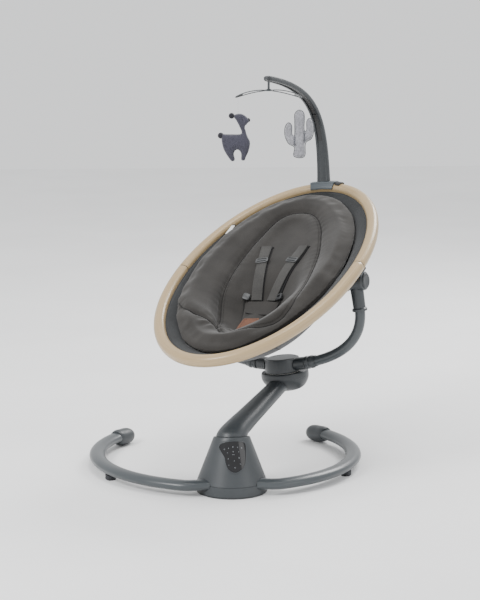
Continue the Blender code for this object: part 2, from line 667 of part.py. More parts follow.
def make_pivot(mats, turn, name, side):
    """The sleeve on the fork's end, the pivot housing on it and the recline button in its face."""
    path = fork_post(side, (0, 0.09, 0.1, 0.5, 1.0))
    radii = [SLEEVE_FLANGE_R, SLEEVE_FLANGE_R, SLEEVE_R - 0.0012, SLEEVE_R - 0.0005, SLEEVE_R]
    post = node("fork_sleeve_" + name, sleeve(path, radii, FORK_TUBE_R + 2 * GAP, 14, (0, 1, 0)), mats["shell"], turn)
    across = Matrix.Translation((0, 0, PIVOT_Z)) @ Matrix.Rotation(side * math.pi / 2, 4, "Y")
    inner, outer = PIVOT_INNER_X, PIVOT_INNER_X + PIVOT_LENGTH
    r = PIVOT_HOUSING_R
    room = [(0, inner - GAP), (r + GAP, inner - GAP), (r + GAP, outer + GAP), (0, outer + GAP)]
    combine(post, helper("pivot_room_" + name, turned(room, 20, across), turn))
    well = outer - BUTTON_LENGTH
    profile = [(PIN_R + GAP, inner), (r - 0.001, inner), (r, inner + 0.001), (r, outer - 0.0015), (r - 0.0015, outer),
               (BUTTON_R + GAP, outer), (BUTTON_R + GAP, well), (PIN_R + GAP, well)]
    node("pivot_housing_" + name, turned(profile, 20, across), mats["shell"], turn)
    back = well + BUTTON_TRAVEL + GAP
    face = back + BUTTON_LENGTH
    button = [(0, back), (BUTTON_R, back), (BUTTON_R, face - 0.0015), (BUTTON_R - 0.0015, face - 0.0003), (0, face)]
    node("recline_button_" + name, turned(button, 20, across), mats["shell"], turn)


# ---------------------------------------------------------------- seat

def ring_path(start, end, steps):
    points = []
    for i in range(steps + 1):
        a = start + (end - start) * i / steps
        points.append(Vector((RING_HALF_WIDTH * math.cos(a), RING_Y + RING_HALF_LENGTH * math.sin(a), RING_Z)))
    return points


def make_ring(mats, seat):
    """Two half rings that meet over the pivots."""
    meet = math.asin(-RING_Y / RING_HALF_LENGTH)
    gap = GAP / RING_HALF_LENGTH
    section = ellipse(RING_SECTION_R, RING_SECTION_R, 12, RING_SQUARENESS)
    head = ring_path(meet + gap, math.pi - meet - gap, RING_STEPS)
    tail = ring_path(math.pi - meet + gap, math.tau + meet - gap, RING_STEPS)
    for name, path in (("seat_ring_head", head), ("seat_ring_foot", tail)):
        node(name, sweep(path, [section] * len(path), (0, 0, 1)), mats["ring"], seat)


def make_lugs(mats, seat):
    """An angled bracket under the ring on each side, with the pivot pin on it."""
    flange_low, flange_high = PIVOT_HOUSING_R + RUNNING_GAP, RING_Z - RING_SECTION_R - RUNNING_GAP
    wall = LUG_X + LUG_THICKNESS
    edge = LUG_X + LUG_FLANGE_OUT
    corners = [(LUG_X, -LUG_HALF_LENGTH), (wall, -LUG_HALF_LENGTH), (wall, flange_low), (edge, flange_low),
               (edge, flange_high), (LUG_X, flange_high)]
    pin_end = PIVOT_INNER_X + PIVOT_LENGTH - BUTTON_LENGTH
    pin = [(0, wall - 0.001), (PIN_R, wall - 0.001), (PIN_R, pin_end), (0, pin_end)]
    for name, side in (("left", -1), ("right", 1)):
        lug = node("pivot_bracket_" + name,
                   prism(corners, lambda u, v, level: Vector((side * u, level, v)),
                         -LUG_HALF_LENGTH, LUG_HALF_LENGTH), mats["shell"], seat)
        across = Matrix.Rotation(side * math.pi / 2, 4, "Y")
        combine(lug, helper("pivot_pin_" + name, turned(pin, 14, across), seat), "UNION")


# Levels down the seat: depth under the ring's plane, half width as a share of the brackets' spacing, half length as a
# share of the ring's, and the middle's place along y.
BOWL_LEVELS = ((0.0125, 0.9950, 0.8835, -0.0090), (0.0200, 0.9794, 0.8716, -0.0085), (0.0500, 0.8705, 0.7945, -0.0120),
               (0.0800, 0.7422, 0.6671, -0.0160), (0.1080, 0.5636, 0.4981, -0.0220), (0.1260, 0.3460, 0.2965, -0.0280))
BOWL_FLAT = (BOWL_DEPTH, 0.1228, 0.1067, BOWL_LEVELS[-1][3])
HOLLOW_LEVELS = ((-0.0120, 0.9152, 0.8479, -0.0090), (-0.0060, 0.7589, 0.7471, -0.0120), (0.0030, 0.6585, 0.5885, -0.0335),
                 (0.0100, 0.5859, 0.4862, -0.0540), (0.0200, 0.5301, 0.3528, -0.0890), (0.0350, 0.4464, 0.2668, -0.1100),
                 (0.0500, 0.3348, 0.2075, -0.1200), (0.0580, 0.2232, 0.1631, -0.1250))
HOLLOW_FLAT = (HOLLOW_DEPTH, 0.0670, 0.0593, HOLLOW_LEVELS[-1][3])
PAD_EDGE_LEVELS = ((-0.0040, 0.9989, 0.8924, -0.0090), (0.0030, 0.9933, 0.8894, -0.0090))
BOWL_RIM_DEPTH = 0.002
BOWL_RIM_CLEARANCE = 0.0012
SEAT_STEPS = 28


def level_ring(level, shrink=0.0, lift=0.0):
    depth, width, length, middle = level
    outline = ellipse(width * LUG_X - shrink, length * RING_HALF_LENGTH - shrink, SEAT_STEPS)
    return [Vector((u, middle + v, RING_Z - depth + lift)) for u, v in outline]


def bowl_side(shrink, lift):
    """Rings down the bowl's wall, from just inside the ring to a small flat at the bottom."""
    inset = RING_SECTION_R + BOWL_RIM_CLEARANCE + shrink
    rim = ellipse(RING_HALF_WIDTH - inset, RING_HALF_LENGTH - inset, SEAT_STEPS)
    rings = [[Vector((u, RING_Y + v, RING_Z - BOWL_RIM_DEPTH + lift)) for u, v in rim]]
    rings += [level_ring(level, shrink, lift) for level in BOWL_LEVELS]
    return rings + [level_ring(BOWL_FLAT, shrink / 4, lift)]


def make_soft_seat(mats, seat):
    """The fabric bowl hung inside the ring, and the padded insert that lies in it."""
    outer, inner = bowl_side(0, 0), bowl_side(BOWL_WALL, BOWL_WALL)
    node("seat_bowl", loft(outer[::-1] + inner), mats["bowl"], seat)
    under = [level_ring(level, BOWL_WALL + PAD_CLEARANCE, BOWL_WALL + PAD_CLEARANCE) for level in BOWL_LEVELS[1:]]
    hollow = [level_ring(level) for level in HOLLOW_LEVELS]
    hollow.append(level_ring(HOLLOW_FLAT))
    edge = [level_ring(level) for level in PAD_EDGE_LEVELS]
    node("seat_insert", loft(under[::-1] + edge[::-1] + hollow), mats["pad"], seat)


def hollow_depth(x, y):
    """How deep the insert's surface lies under the ring's plane at a point of the seat."""
    deeper_depth, deeper_reach = HOLLOW_DEPTH, None
    for depth, width, length, middle in HOLLOW_LEVELS[::-1]:
        reach = math.hypot(x / (width * LUG_X), (y - middle) / (length * RING_HALF_LENGTH))
        if reach <= 1 and deeper_reach is None:
            return depth + (HOLLOW_DEPTH - depth) * (1 - reach)
        if reach <= 1:
            share = (1 - reach) / (deeper_reach - reach)
            return depth + (deeper_depth - depth) * share
        deeper_depth, deeper_reach = depth, reach
    return HOLLOW_LEVELS[0][0]


def on_pad(x, y, above):
    return Vector((x, y, RING_Z - hollow_depth(x, y) + above))


def draped(stations, lift, thickness, columns=2):
    """A strip lying over the insert. stations are (x, y, half width) of its middle along its length."""
    rings = []
    for x, y, half in stations:
        across = [x + half * (2 * i / columns - 1) for i in range(columns + 1)]
        low = [on_pad(u, y, lift) for u in across]
        high = [on_pad(u, y, lift + thickness) for u in across[::-1]]
        rings.append(low + high)
    return loft(rings)


def strap_station(side, share, extra=0.0):
    x = side * (SHOULDER_X + (WAIST_X - SHOULDER_X) * share)
    return x, SHOULDER_Y + (WAIST_Y - SHOULDER_Y) * share, STRAP_HALF_WIDTH + extra


def make_harness(mats, seat):
    """Two shoulder straps with their adjusters, and the crotch piece that they buckle to."""
    over_strap = STRAP_LIFT + STRAP_THICKNESS + 0.0015
    for name, side in (("left", -1), ("right", 1)):
        strap = [strap_station(side, i / 6) for i in range(7)]
        node("shoulder_strap_" + name, draped(strap, STRAP_LIFT, STRAP_THICKNESS), mats["strap"], seat)
        adjuster = [strap_station(side, ADJUSTER_SHARE + change, 0.002) for change in (-0.05, 0.05)]
        node("strap_adjuster_" + name, draped(adjuster, over_strap, ADJUSTER_THICKNESS), mats["dark"], seat)
        buckle = [(side * 0.041, WAIST_Y + change, 0.0075) for change in (-0.007, 0.006)]
        node("side_buckle_" + name, draped(buckle, STRAP_LIFT, BUCKLE_THICKNESS), mats["dark"], seat)
    crotch = [(0, y, half) for y, half in ((-0.068, 0.044), (-0.090, 0.041), (-0.115, 0.034), (-0.140, 0.029),
                                           (-0.163, 0.027), (-0.183, 0.024))]
    node("crotch_piece", draped(crotch, CROTCH_LIFT, CROTCH_THICKNESS, 4), mats["pad"], seat)
    patch = [(-0.002, y, half) for y, half in ((-0.130, 0.0185), (-0.150, 0.0200), (-0.168, 0.0190))]
    node("leather_patch", draped(patch, CROTCH_LIFT + CROTCH_THICKNESS + 0.0032, PATCH_THICKNESS, 4), mats["leather"],
         seat)
    low = Vector((-0.168, 0.108, RING_Z + 0.0142))
    node("woven_tag", block(low, low + Vector(TAG_SIZE)), mats["tag"], seat)


# ---------------------------------------------------------------- toy bar and mobile

def crown_height():
    """The saddle's flat top above the ring's centre line, along the direction that the bar lifts off in."""
    return RING_SECTION_R * 1.03 + SADDLE_FIT + SADDLE_WALL + SADDLE_PAD


def crown_direction():
    """Straight up while the arm hangs level: the seat's normal leant back by the recline."""
    return Vector((0, math.sin(RECLINE), math.cos(RECLINE)))


def bar_curve(start, end, steps):
    ring_end = Vector((0, RING_Y + RING_HALF_LENGTH, RING_Z))
    points = [ring_end + Vector((0, y, z)) for y, z in BAR_CURVE]
    return bezier(ring_end + crown_direction() * (crown_height() + GAP), *points, steps, start, end)


def on_crown(point, foot, along):
    """The point slid along a direction until it is level with the saddle's flat top."""
    crown = crown_direction()
    return point + along * ((foot - point).dot(crown) / along.dot(crown))


def bar_size(share):
    """The bar's width and thickness at a share of its curve."""
    width = BAR_FOOT_WIDTH + (BAR_TIP_WIDTH - BAR_FOOT_WIDTH) * share ** 0.7
    return width, BAR_FOOT_THICKNESS + (BAR_TIP_THICKNESS - BAR_FOOT_THICKNESS) * share


def channel_section(width, thickness):
    """A softened rectangle with a groove along its inner side."""
    w, t, g, d = width / 2, thickness / 2, width * 0.26, CHANNEL_DEPTH
    return [(-w, 0.3 * t), (-w, -0.75 * t), (-0.8 * w, -t), (-g, -t), (-g * 0.8, -t + d), (g * 0.8, -t + d), (g, -t),
            (0.8 * w, -t), (w, -0.75 * t), (w, 0.3 * t), (0.62 * w, 0.9 * t), (0, t), (-0.62 * w, 0.9 * t)]


def ring_frames(turns):
    """Points on the ring at angles from its head end, with the outward direction at each."""
    frames = []
    for turn in turns:
        point = ring_path(math.pi / 2 + turn, math.pi / 2 + turn, 1)[0]
        across = Vector((point.x / RING_HALF_WIDTH ** 2, (point.y - RING_Y) / RING_HALF_LENGTH ** 2, 0))
        frames.append((point, across.normalized()))
    return frames


def wrapped(frames, section):
    """A solid whose section (outward, up) is set at each of the ring's frames."""
    return loft([[point + out * u + Vector((0, 0, v)) for u, v in section] for point, out in frames])


def arc(radius, start, end, steps):
    """Points (outward, up) about the ring's centre line, from the crown's direction."""
    turns = [RECLINE + start + (end - start) * i / steps for i in range(steps + 1)]
    softened = [1 + 0.045 * math.sin(2 * turn) ** 2 for turn in turns]
    return [(radius * k * math.sin(turn), radius * k * math.cos(turn)) for turn, k in zip(turns, softened)]


def make_toy_bar(mats, bar):
    """A saddle on the ring's head end with its latch, a mast and a grooved arch."""
    step = (math.pi - 2 * math.asin(-RING_Y / RING_HALF_LENGTH)) / RING_STEPS
    inner = RING_SECTION_R + SADDLE_FIT
    outer = inner + SADDLE_WALL
    flat = math.radians(34)
    top = crown_height() / math.cos(math.radians(30))
    crown = [(top * math.sin(RECLINE + a), top * math.cos(RECLINE + a)) for a in (math.radians(-30), math.radians(30))]
    section = arc(inner, SADDLE_WRAP, -SADDLE_WRAP, 12) + arc(outer, -SADDLE_WRAP, -flat - 0.1, 4)
    section += crown + arc(outer, flat + 0.1, SADDLE_WRAP, 4)
    node("toy_bar_saddle", wrapped(ring_frames((-step, 0, step)), section), mats["clip"], bar)
    start = -step * 1.10
    latch = arc(inner, 0.75, -0.75, 5) + arc(outer + 0.0008, -0.60, 0.60, 4)
    end = start - LATCH_LENGTH / RING_HALF_WIDTH
    node("toy_bar_latch", wrapped(ring_frames((start, (start + end) / 2, end)), latch), mats["dark"], bar)
    for name, start, end, steps, make in (("toy_bar_mast", 0.0, BAR_JOINT, 9, lambda w, t: ellipse(w / 2, t / 2, 12, 4)),
                                          ("toy_bar_arch", BAR_JOINT + BAR_JOINT_GAP, 1.0, 14, channel_section)):
        path = bar_curve(start, end, steps)
        sections = [make(*bar_size(start + (end - start) * i / steps)) for i in range(steps + 1)]
        if name == "toy_bar_arch":
            sections[-1] = [(u * 0.72, v * 0.72) for u, v in sections[-1]]
        rings = sweep_rings(path, sections, (-1, 0, 0))
        if start == 0:
            rings[0] = [on_crown(p, path[0], path[1] - path[0]) for p in rings[0]]
        node(name, loft(rings), mats["shell"], bar)


def loop_path(side, steps=18):
    """A slim leaf-shaped loop from the mobile's hub out to its tip, drooping and rolled."""
    roll = Matrix.Rotation(LOOP_ROLL, 3, "X")
    points = []
    for i in range(steps):
        a = math.tau * i / steps
        share = (1 - math.cos(a)) / 2
        width = LOOP_HALF_WIDTH * math.sin(a) * (0.45 + 0.55 * share)
        point = Vector((0, width, 0))
        point = roll @ point
        points.append(Vector((side * (0.004 + (MOBILE_SPAN - 0.004) * share), side * point.y,
                              -MOBILE_DROOP * share ** 2 + point.z)))
    return points


def closed_tube(path, radius, steps):
    """A round rod round a closed path."""
    rings = []
    count = len(path)
    for i, point in enumerate(path):
        along = (path[(i + 1) % count] - path[i - 1]).normalized()
        across = Vector((0, 0, 1)).cross(along).normalized()
        up = along.cross(across)
        rings.append([point + across * u + up * v for u, v in ellipse(radius, radius, steps)])
    return loft(rings, wrap=True)


def make_mobile(mats, mobile):
    """The stem under the bar's tip, and the bow with its two loops. The parent is at the stem's top."""
    node("mobile_stem", turned([(0, -MOBILE_STEM), (MOBILE_STEM_R, -MOBILE_STEM), (MOBILE_STEM_R, 0), (0, 0)], 14),
         mats["shell"], mobile)
    low = -MOBILE_STEM - BOW_DROP
    bow = node("mobile_bow", turned([(0, low - 0.0012), (0.009, low - 0.0012), (0.0105, low), (0.0095, low + 0.0012),
                                     (0.0038, -MOBILE_STEM - GAP), (0, -MOBILE_STEM - GAP)], 20), mats["shell"], mobile)
    for name, side in (("left", -1), ("right", 1)):
        path = [p + Vector((0, 0, low)) for p in loop_path(side)]
        combine(bow, helper("loop_" + name, closed_tube(path, LOOP_ROD_R, 5), mobile), "UNION")


LLAMA_OUTLINE = ((0.0265, -0.0175), (0.0205, -0.0235), (0.0145, -0.0300), (0.0180, -0.0400), (0.0225, -0.0520),
                 (0.0280, -0.0640), (0.0255, -0.0830), (0.0195, -0.0980), (0.0175, -0.1050), (0.0085, -0.1050),
                 (0.0070, -0.0900), (-0.0010, -0.0815), (-0.0090, -0.0900), (-0.0070, -0.1040), (-0.0150, -0.1080),
                 (-0.0245, -0.0960), (-0.0330, -0.0800), (-0.0370, -0.0620), (-0.0400, -0.0570), (-0.0440, -0.0500),
                 (-0.0410, -0.0430), (-0.0350, -0.0415), (-0.0290, -0.0460),
                 (0.0040, -0.0460), (0.0080, -0.0430), (0.0040, -0.0320), (-0.0020, -0.0200), (-0.0060, -0.0130),
                 (-0.0160, -0.0110), (-0.0220, -0.0070), (-0.0180, -0.0020), (-0.0090, -0.0020),
                 (0.0000, -0.0005), (0.0100, -0.0010), (0.0200, -0.0080))
CACTUS_OUTLINE = ((0.0120, -0.0100), (0.0120, -0.0440), (0.0150, -0.0460), (0.0150, -0.0260), (0.0210, -0.0190),
                  (0.0290, -0.0250), (0.0320, -0.0460), (0.0270, -0.0640), (0.0140, -0.0740), (0.0120, -0.1035),
                  (-0.0110, -0.1030), (-0.0100, -0.0820), (-0.0230, -0.0740), (-0.0310, -0.0560), (-0.0300, -0.0390),
                  (-0.0230, -0.0270), (-0.0110, -0.0240), (-0.0095, -0.0090), (0.0000, -0.0010))


def make_toy(mats, parent, name, outline, thickness, string, finish):
    """A soft toy cut to an outline, hanging on its string. The parent is at the arm's tip."""
    node(name + "_string", turned([(0, -string), (STRING_R, -string), (STRING_R, -0.0012), (0, -0.0012)], 8),
         mats["tag"], parent)
    rings = []
    corners = smooth_outline(outline, 1)
    corners = corners if signed_area(corners) > 0 else corners[::-1]
    for inset, level in ((0.0030, -0.5), (0.0, -0.30), (0.0, 0.30), (0.0030, 0.5)):
        rings.append([Vector((p.x, level * thickness, p.y - string - GAP)) for p in grown(corners, -inset)])
    node(name, loft(rings), mats[finish], parent, flat_above=60)


def signed_area(points):
    return sum(a.x * b.y - b.x * a.y for a, b in zip(points, points[1:] + points[:1])) / 2


# ---------------------------------------------------------------- whole

def finishes():
    return {
        "shell": material("blue_grey_plastic", (0.085, 0.10, 0.115), 0.42),
        "tube": material("painted_tube", (0.095, 0.11, 0.125), 0.35),
        "dark": material("dark_plastic", (0.02, 0.022, 0.025), 0.5),
        "panel": material("gloss_black_panel", (0.008, 0.008, 0.01), 0.12),
        "board": material("circuit_board", (0.02, 0.12, 0.05), 0.5),
        "steel": material("bright_steel", (0.55, 0.55, 0.56), 0.3, 1.0),
        "light": material("white_acetal", (0.75, 0.75, 0.72), 0.4),
        "rubber": material("black_rubber", (0.02, 0.02, 0.02), 0.85),
        "ring": material("pale_wood_finish", (0.52, 0.43, 0.32), 0.5),
        "bowl": material("dark_mesh_fabric", (0.035, 0.042, 0.052), 0.9),
        "pad": material("graphite_knit", (0.08, 0.077, 0.073), 0.95),
        "strap": material("grey_webbing", (0.09, 0.09, 0.09), 0.9),
        "leather": material("tan_leather", (0.16, 0.075, 0.04), 0.6),
        "tag": material("white_ribbon", (0.8, 0.8, 0.78), 0.8),
        "clip": material("slate_plastic", (0.11, 0.13, 0.15), 0.45),
        "llama": material("slate_plush", (0.04, 0.04, 0.055), 1.0),
        "cactus": material("silver_velour", (0.33, 0.33, 0.35), 0.9),
    }


def main():
    clear_scene()
    mats = finishes()
    make_base(mats)
    swing = place_empty("swing_axis", Matrix.Rotation(ARM_SWUNG, 4, AXIS @ Vector((0, 0, 1))))
    turn = place_empty("turntable_axis", Matrix.Translation((0, ARM_REACH, 0)), swing)
    recline = Matrix.Translation((0, 0, PIVOT_Z)) @ Matrix.Rotation(RECLINE, 4, "X")
    seat = place_empty("recline_axis", recline, turn)
    make_arm(mats, swing)
    make_hub(mats, swing, turn)
    make_fork(mats, turn)
    make_ring(mats, seat)
    make_lugs(mats, seat)
    make_soft_seat(mats, seat)
    make_harness(mats, seat)
    make_toy_bar(mats, seat)
    bpy.context.view_layer.update()
    tip = seat.matrix_world @ (bar_curve(0, MOBILE_PLACE, 1)[-1])
    tip.z -= BAR_TIP_THICKNESS / 2 + RUNNING_GAP
    hang = place_empty("mobile_axis", Matrix.Translation(tip) @ Matrix.Rotation(MOBILE_TURN, 4, "Z"))
    make_mobile(mats, hang)
    tip_z = -MOBILE_STEM - BOW_DROP - MOBILE_DROOP
    reach = MOBILE_SPAN - TOY_TIP_INSET
    left = place_empty("llama_hook", Matrix.Translation((-reach, 0, tip_z)), hang)
    right = place_empty("cactus_hook", Matrix.Translation((reach, 0, tip_z)), hang)
    make_toy(mats, left, "llama_toy", LLAMA_OUTLINE, LLAMA_THICKNESS, LLAMA_STRING, "llama")
    make_toy(mats, right, "cactus_toy", CACTUS_OUTLINE, CACTUS_THICKNESS, CACTUS_STRING, "cactus")


main()
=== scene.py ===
"""Baby swing: the finished look of every piece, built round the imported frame.

Everything is in metres in the frame's own axes: +Z up, the front at -Y. The seat and the hub have frames of their
own, which come from the joints' places and axes, so each sub-assembly is built in the frame that it moves in.
"""

import json
import logging
import math
from dataclasses import dataclass, field
from enum import Enum
from typing import Callable, Optional, Sequence

import bmesh
import bpy
import numpy as np
from mathutils import Matrix, Vector
from mathutils.bvhtree import BVHTree


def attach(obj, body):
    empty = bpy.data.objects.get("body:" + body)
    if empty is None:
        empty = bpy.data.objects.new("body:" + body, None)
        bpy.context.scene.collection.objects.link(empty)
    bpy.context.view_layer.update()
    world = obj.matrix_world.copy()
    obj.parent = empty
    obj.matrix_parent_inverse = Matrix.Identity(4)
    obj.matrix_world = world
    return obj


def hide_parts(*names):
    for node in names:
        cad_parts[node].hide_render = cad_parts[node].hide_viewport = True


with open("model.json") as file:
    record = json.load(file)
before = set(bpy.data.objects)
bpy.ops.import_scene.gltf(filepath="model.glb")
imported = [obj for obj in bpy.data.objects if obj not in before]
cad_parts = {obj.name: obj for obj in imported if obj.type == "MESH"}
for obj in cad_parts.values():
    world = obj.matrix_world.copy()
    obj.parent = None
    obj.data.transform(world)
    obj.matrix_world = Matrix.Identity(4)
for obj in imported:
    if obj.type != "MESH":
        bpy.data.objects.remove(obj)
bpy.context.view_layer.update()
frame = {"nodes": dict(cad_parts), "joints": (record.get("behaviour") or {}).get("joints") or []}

GAP = 0.0003
MM = 0.001

LOG = logging.getLogger("baby_swing")

Solid = bpy.types.Object
Point = tuple[float, float]
Rings = Sequence[Sequence[Vector]]


# ---------------------------------------------------------------- colours and materials

def linear(hex_colour: str) -> tuple[float, float, float, float]:
    """Turn an sRGB hex colour into linear RGBA.

    Args:
        hex_colour: six hex digits, such as "5f6a72".

    Returns:
        Linear red, green and blue, with alpha 1.
    """
    channels = [int(hex_colour[i:i + 2], 16) / 255 for i in (0, 2, 4)]
    bent = [c / 12.92 if c <= 0.04045 else ((c + 0.055) / 1.055) ** 2.4 for c in channels]
    return (*bent, 1.0)


def add_node(tree: bpy.types.NodeTree, kind: str, inputs: Optional[dict] = None, links: Optional[dict] = None,
        **settings: object) -> bpy.types.Node:
    """Add one node with its settings, its fixed inputs and its links.

    Args:
        tree: the node tree that it goes in.
        kind: the node's type, such as "ShaderNodeTexNoise".
        inputs: values for its sockets, by name or number.
        links: output sockets to join to its sockets, by name or number.
        **settings: attributes of the node.

    Returns:
        The new node.
    """
    made = tree.nodes.new(kind)
    for key, value in settings.items():
        setattr(made, key, value)
    for key, value in (inputs or {}).items():
        made.inputs[key].default_value = value
    for key, source in (links or {}).items():
        tree.links.new(source, made.inputs[key])
    return made


def blank_material(name: str, roughness: float, **sockets: object) -> tuple[bpy.types.Material, bpy.types.Node]:
    """Start a Principled material.

    Args:
        name: the material's name.
        roughness: its middle roughness.
        **sockets: further shader sockets, with _ for each space in their names.

    Returns:
        The material and its shader node.
    """
    made = bpy.data.materials.new(name)
    made.use_nodes = True
    shader = made.node_tree.nodes["Principled BSDF"]
    shader.inputs["Roughness"].default_value = roughness
    for key, value in sockets.items():
        shader.inputs[key.replace("_", " ")].default_value = value
    return made, shader


def mottle(tree: bpy.types.NodeTree, size: float, colours: tuple[str, str], detail: float = 3.0,
        spread: tuple[float, float] = (0.35, 0.65), stretch: tuple[float, float, float] = (1, 1,
        1)) -> bpy.types.Node:
    """Noise between two colours on Object coordinates.

    Args:
        tree: the material's tree.
        size: the size of one patch, in metres.
        colours: the darker and the lighter colour, as hex.
        detail: the noise's octaves.
        spread: where in the noise each colour starts.
        stretch: how much finer the pattern is along X, Y and Z.

    Returns:
        The colour ramp node; its factor comes from the noise.
    """
    place = add_node(tree, "ShaderNodeTexCoord")
    mapped = add_node(tree, "ShaderNodeMapping", {"Scale": stretch}, {"Vector": place.outputs["Object"]})
    noise = add_node(tree, "ShaderNodeTexNoise", {"Scale": 1 / size, "Detail": detail}, {"Vector": mapped.outputs[0]})
    ramp = add_node(tree, "ShaderNodeValToRGB", links={"Fac": noise.outputs["Fac"]})
    for element, at, colour in zip(ramp.color_ramp.elements, spread, colours):
        element.position = at
        element.color = linear(colour)
    return ramp


@dataclass(frozen=True)
class MouldedPlastic:
    """Injection-moulded ABS with a spark-eroded skin: satin, with a fine grain that breaks up its highlights."""

    name: str
    dark: str
    light: str
    roughness: float = 0.42
    grain: float = 1.3 * MM         # real grain is 0.3 mm; this is as fine as a view of the whole object shows
    depth: float = 0.05 * MM

    def build(self) -> bpy.types.Material:
        """Make the material and return it."""
        made, shader = blank_material(self.name, self.roughness, IOR=1.53)
        tree = made.node_tree
        ramp = mottle(tree, 45 * MM, (self.dark, self.light), 2.0, (0.3, 0.7))
        grain = add_node(tree, "ShaderNodeTexNoise", {"Scale": 1 / self.grain, "Detail": 2.0},
            {"Vector": add_node(tree, "ShaderNodeTexCoord").outputs["Object"]})
        rough = add_node(tree, "ShaderNodeMapRange", {"To Min": self.roughness - 0.06,
            "To Max": self.roughness + 0.06}, {"Value": grain.outputs["Fac"]})
        bump = add_node(tree, "ShaderNodeBump", {"Strength": 0.5, "Distance": self.depth},
            {"Height": grain.outputs["Fac"]})
        tree.links.new(ramp.outputs["Color"], shader.inputs["Base Color"])
        tree.links.new(rough.outputs[0], shader.inputs["Roughness"])
        tree.links.new(bump.outputs[0], shader.inputs["Normal"])
        return made


@dataclass(frozen=True)
class PaintedSteel:
    """Powder-coated steel tube: a smooth skin with faint orange peel, glossier than the moulded plastic."""

    name: str
    dark: str
    light: str
    roughness: float = 0.33

    def build(self) -> bpy.types.Material:
        """Make the material and return it."""
        made, shader = blank_material(self.name, self.roughness, IOR=1.5)
        shader.inputs["Coat Weight"].default_value = 0.15
        shader.inputs["Coat Roughness"].default_value = 0.25
        tree = made.node_tree
        ramp = mottle(tree, 60 * MM, (self.dark, self.light), 2.0, (0.3, 0.7))
        peel = add_node(tree, "ShaderNodeTexNoise", {"Scale": 1 / (2.5 * MM), "Detail": 1.0},
            {"Vector": add_node(tree, "ShaderNodeTexCoord").outputs["Object"]})
        bump = add_node(tree, "ShaderNodeBump", {"Strength": 0.35, "Distance": 0.04 * MM},
            {"Height": peel.outputs["Fac"]})
        tree.links.new(ramp.outputs["Color"], shader.inputs["Base Color"])
        tree.links.new(bump.outputs[0], shader.inputs["Normal"])
        return made


@dataclass(frozen=True)
class LacqueredRing:
    """Pale moulded ring under a satin lacquer, with a faint straight grain that follows its length."""

    name: str = "satin_lacquered_birch_tone"
    dark: str = "99825f"
    light: str = "af9973"
    roughness: float = 0.36

    def build(self) -> bpy.types.Material:
        """Make the material and return it."""
        made, shader = blank_material(self.name, self.roughness, IOR=1.5)
        shader.inputs["Coat Weight"].default_value = 0.25
        shader.inputs["Coat Roughness"].default_value = 0.2
        tree = made.node_tree
        uv = add_node(tree, "ShaderNodeTexCoord").outputs["UV"]
        # UV is in metres along and round the ring, so grain 1.5 mm wide and 80 mm long.
        mapped = add_node(tree, "ShaderNodeMapping", {"Scale": (1 / 0.08, 1 / (1.5 * MM), 1)}, {"Vector": uv})
        grain = add_node(tree, "ShaderNodeTexNoise", {"Scale": 1.0, "Detail": 3.0, "Distortion": 0.3},
            {"Vector": mapped.outputs[0]})
        ramp = add_node(tree, "ShaderNodeValToRGB", links={"Fac": grain.outputs["Fac"]})
        for element, at, colour in zip(ramp.color_ramp.elements, (0.25, 0.75), (self.dark, self.light)):
            element.position = at
            element.color = linear(colour)
        bump = add_node(tree, "ShaderNodeBump", {"Strength": 0.25, "Distance": 0.03 * MM},
            {"Height": grain.outputs["Fac"]})
        tree.links.new(ramp.outputs["Color"], shader.inputs["Base Color"])
        tree.links.new(bump.outputs[0], shader.inputs["Normal"])
        return made


class Weave(Enum):
    """How a cloth is made, which sets its relief."""

    KNIT = "fine jersey loops"
    RIB = "webbing's ribs"
    PILE = "short brushed pile"
    MESH = "open spacer mesh"


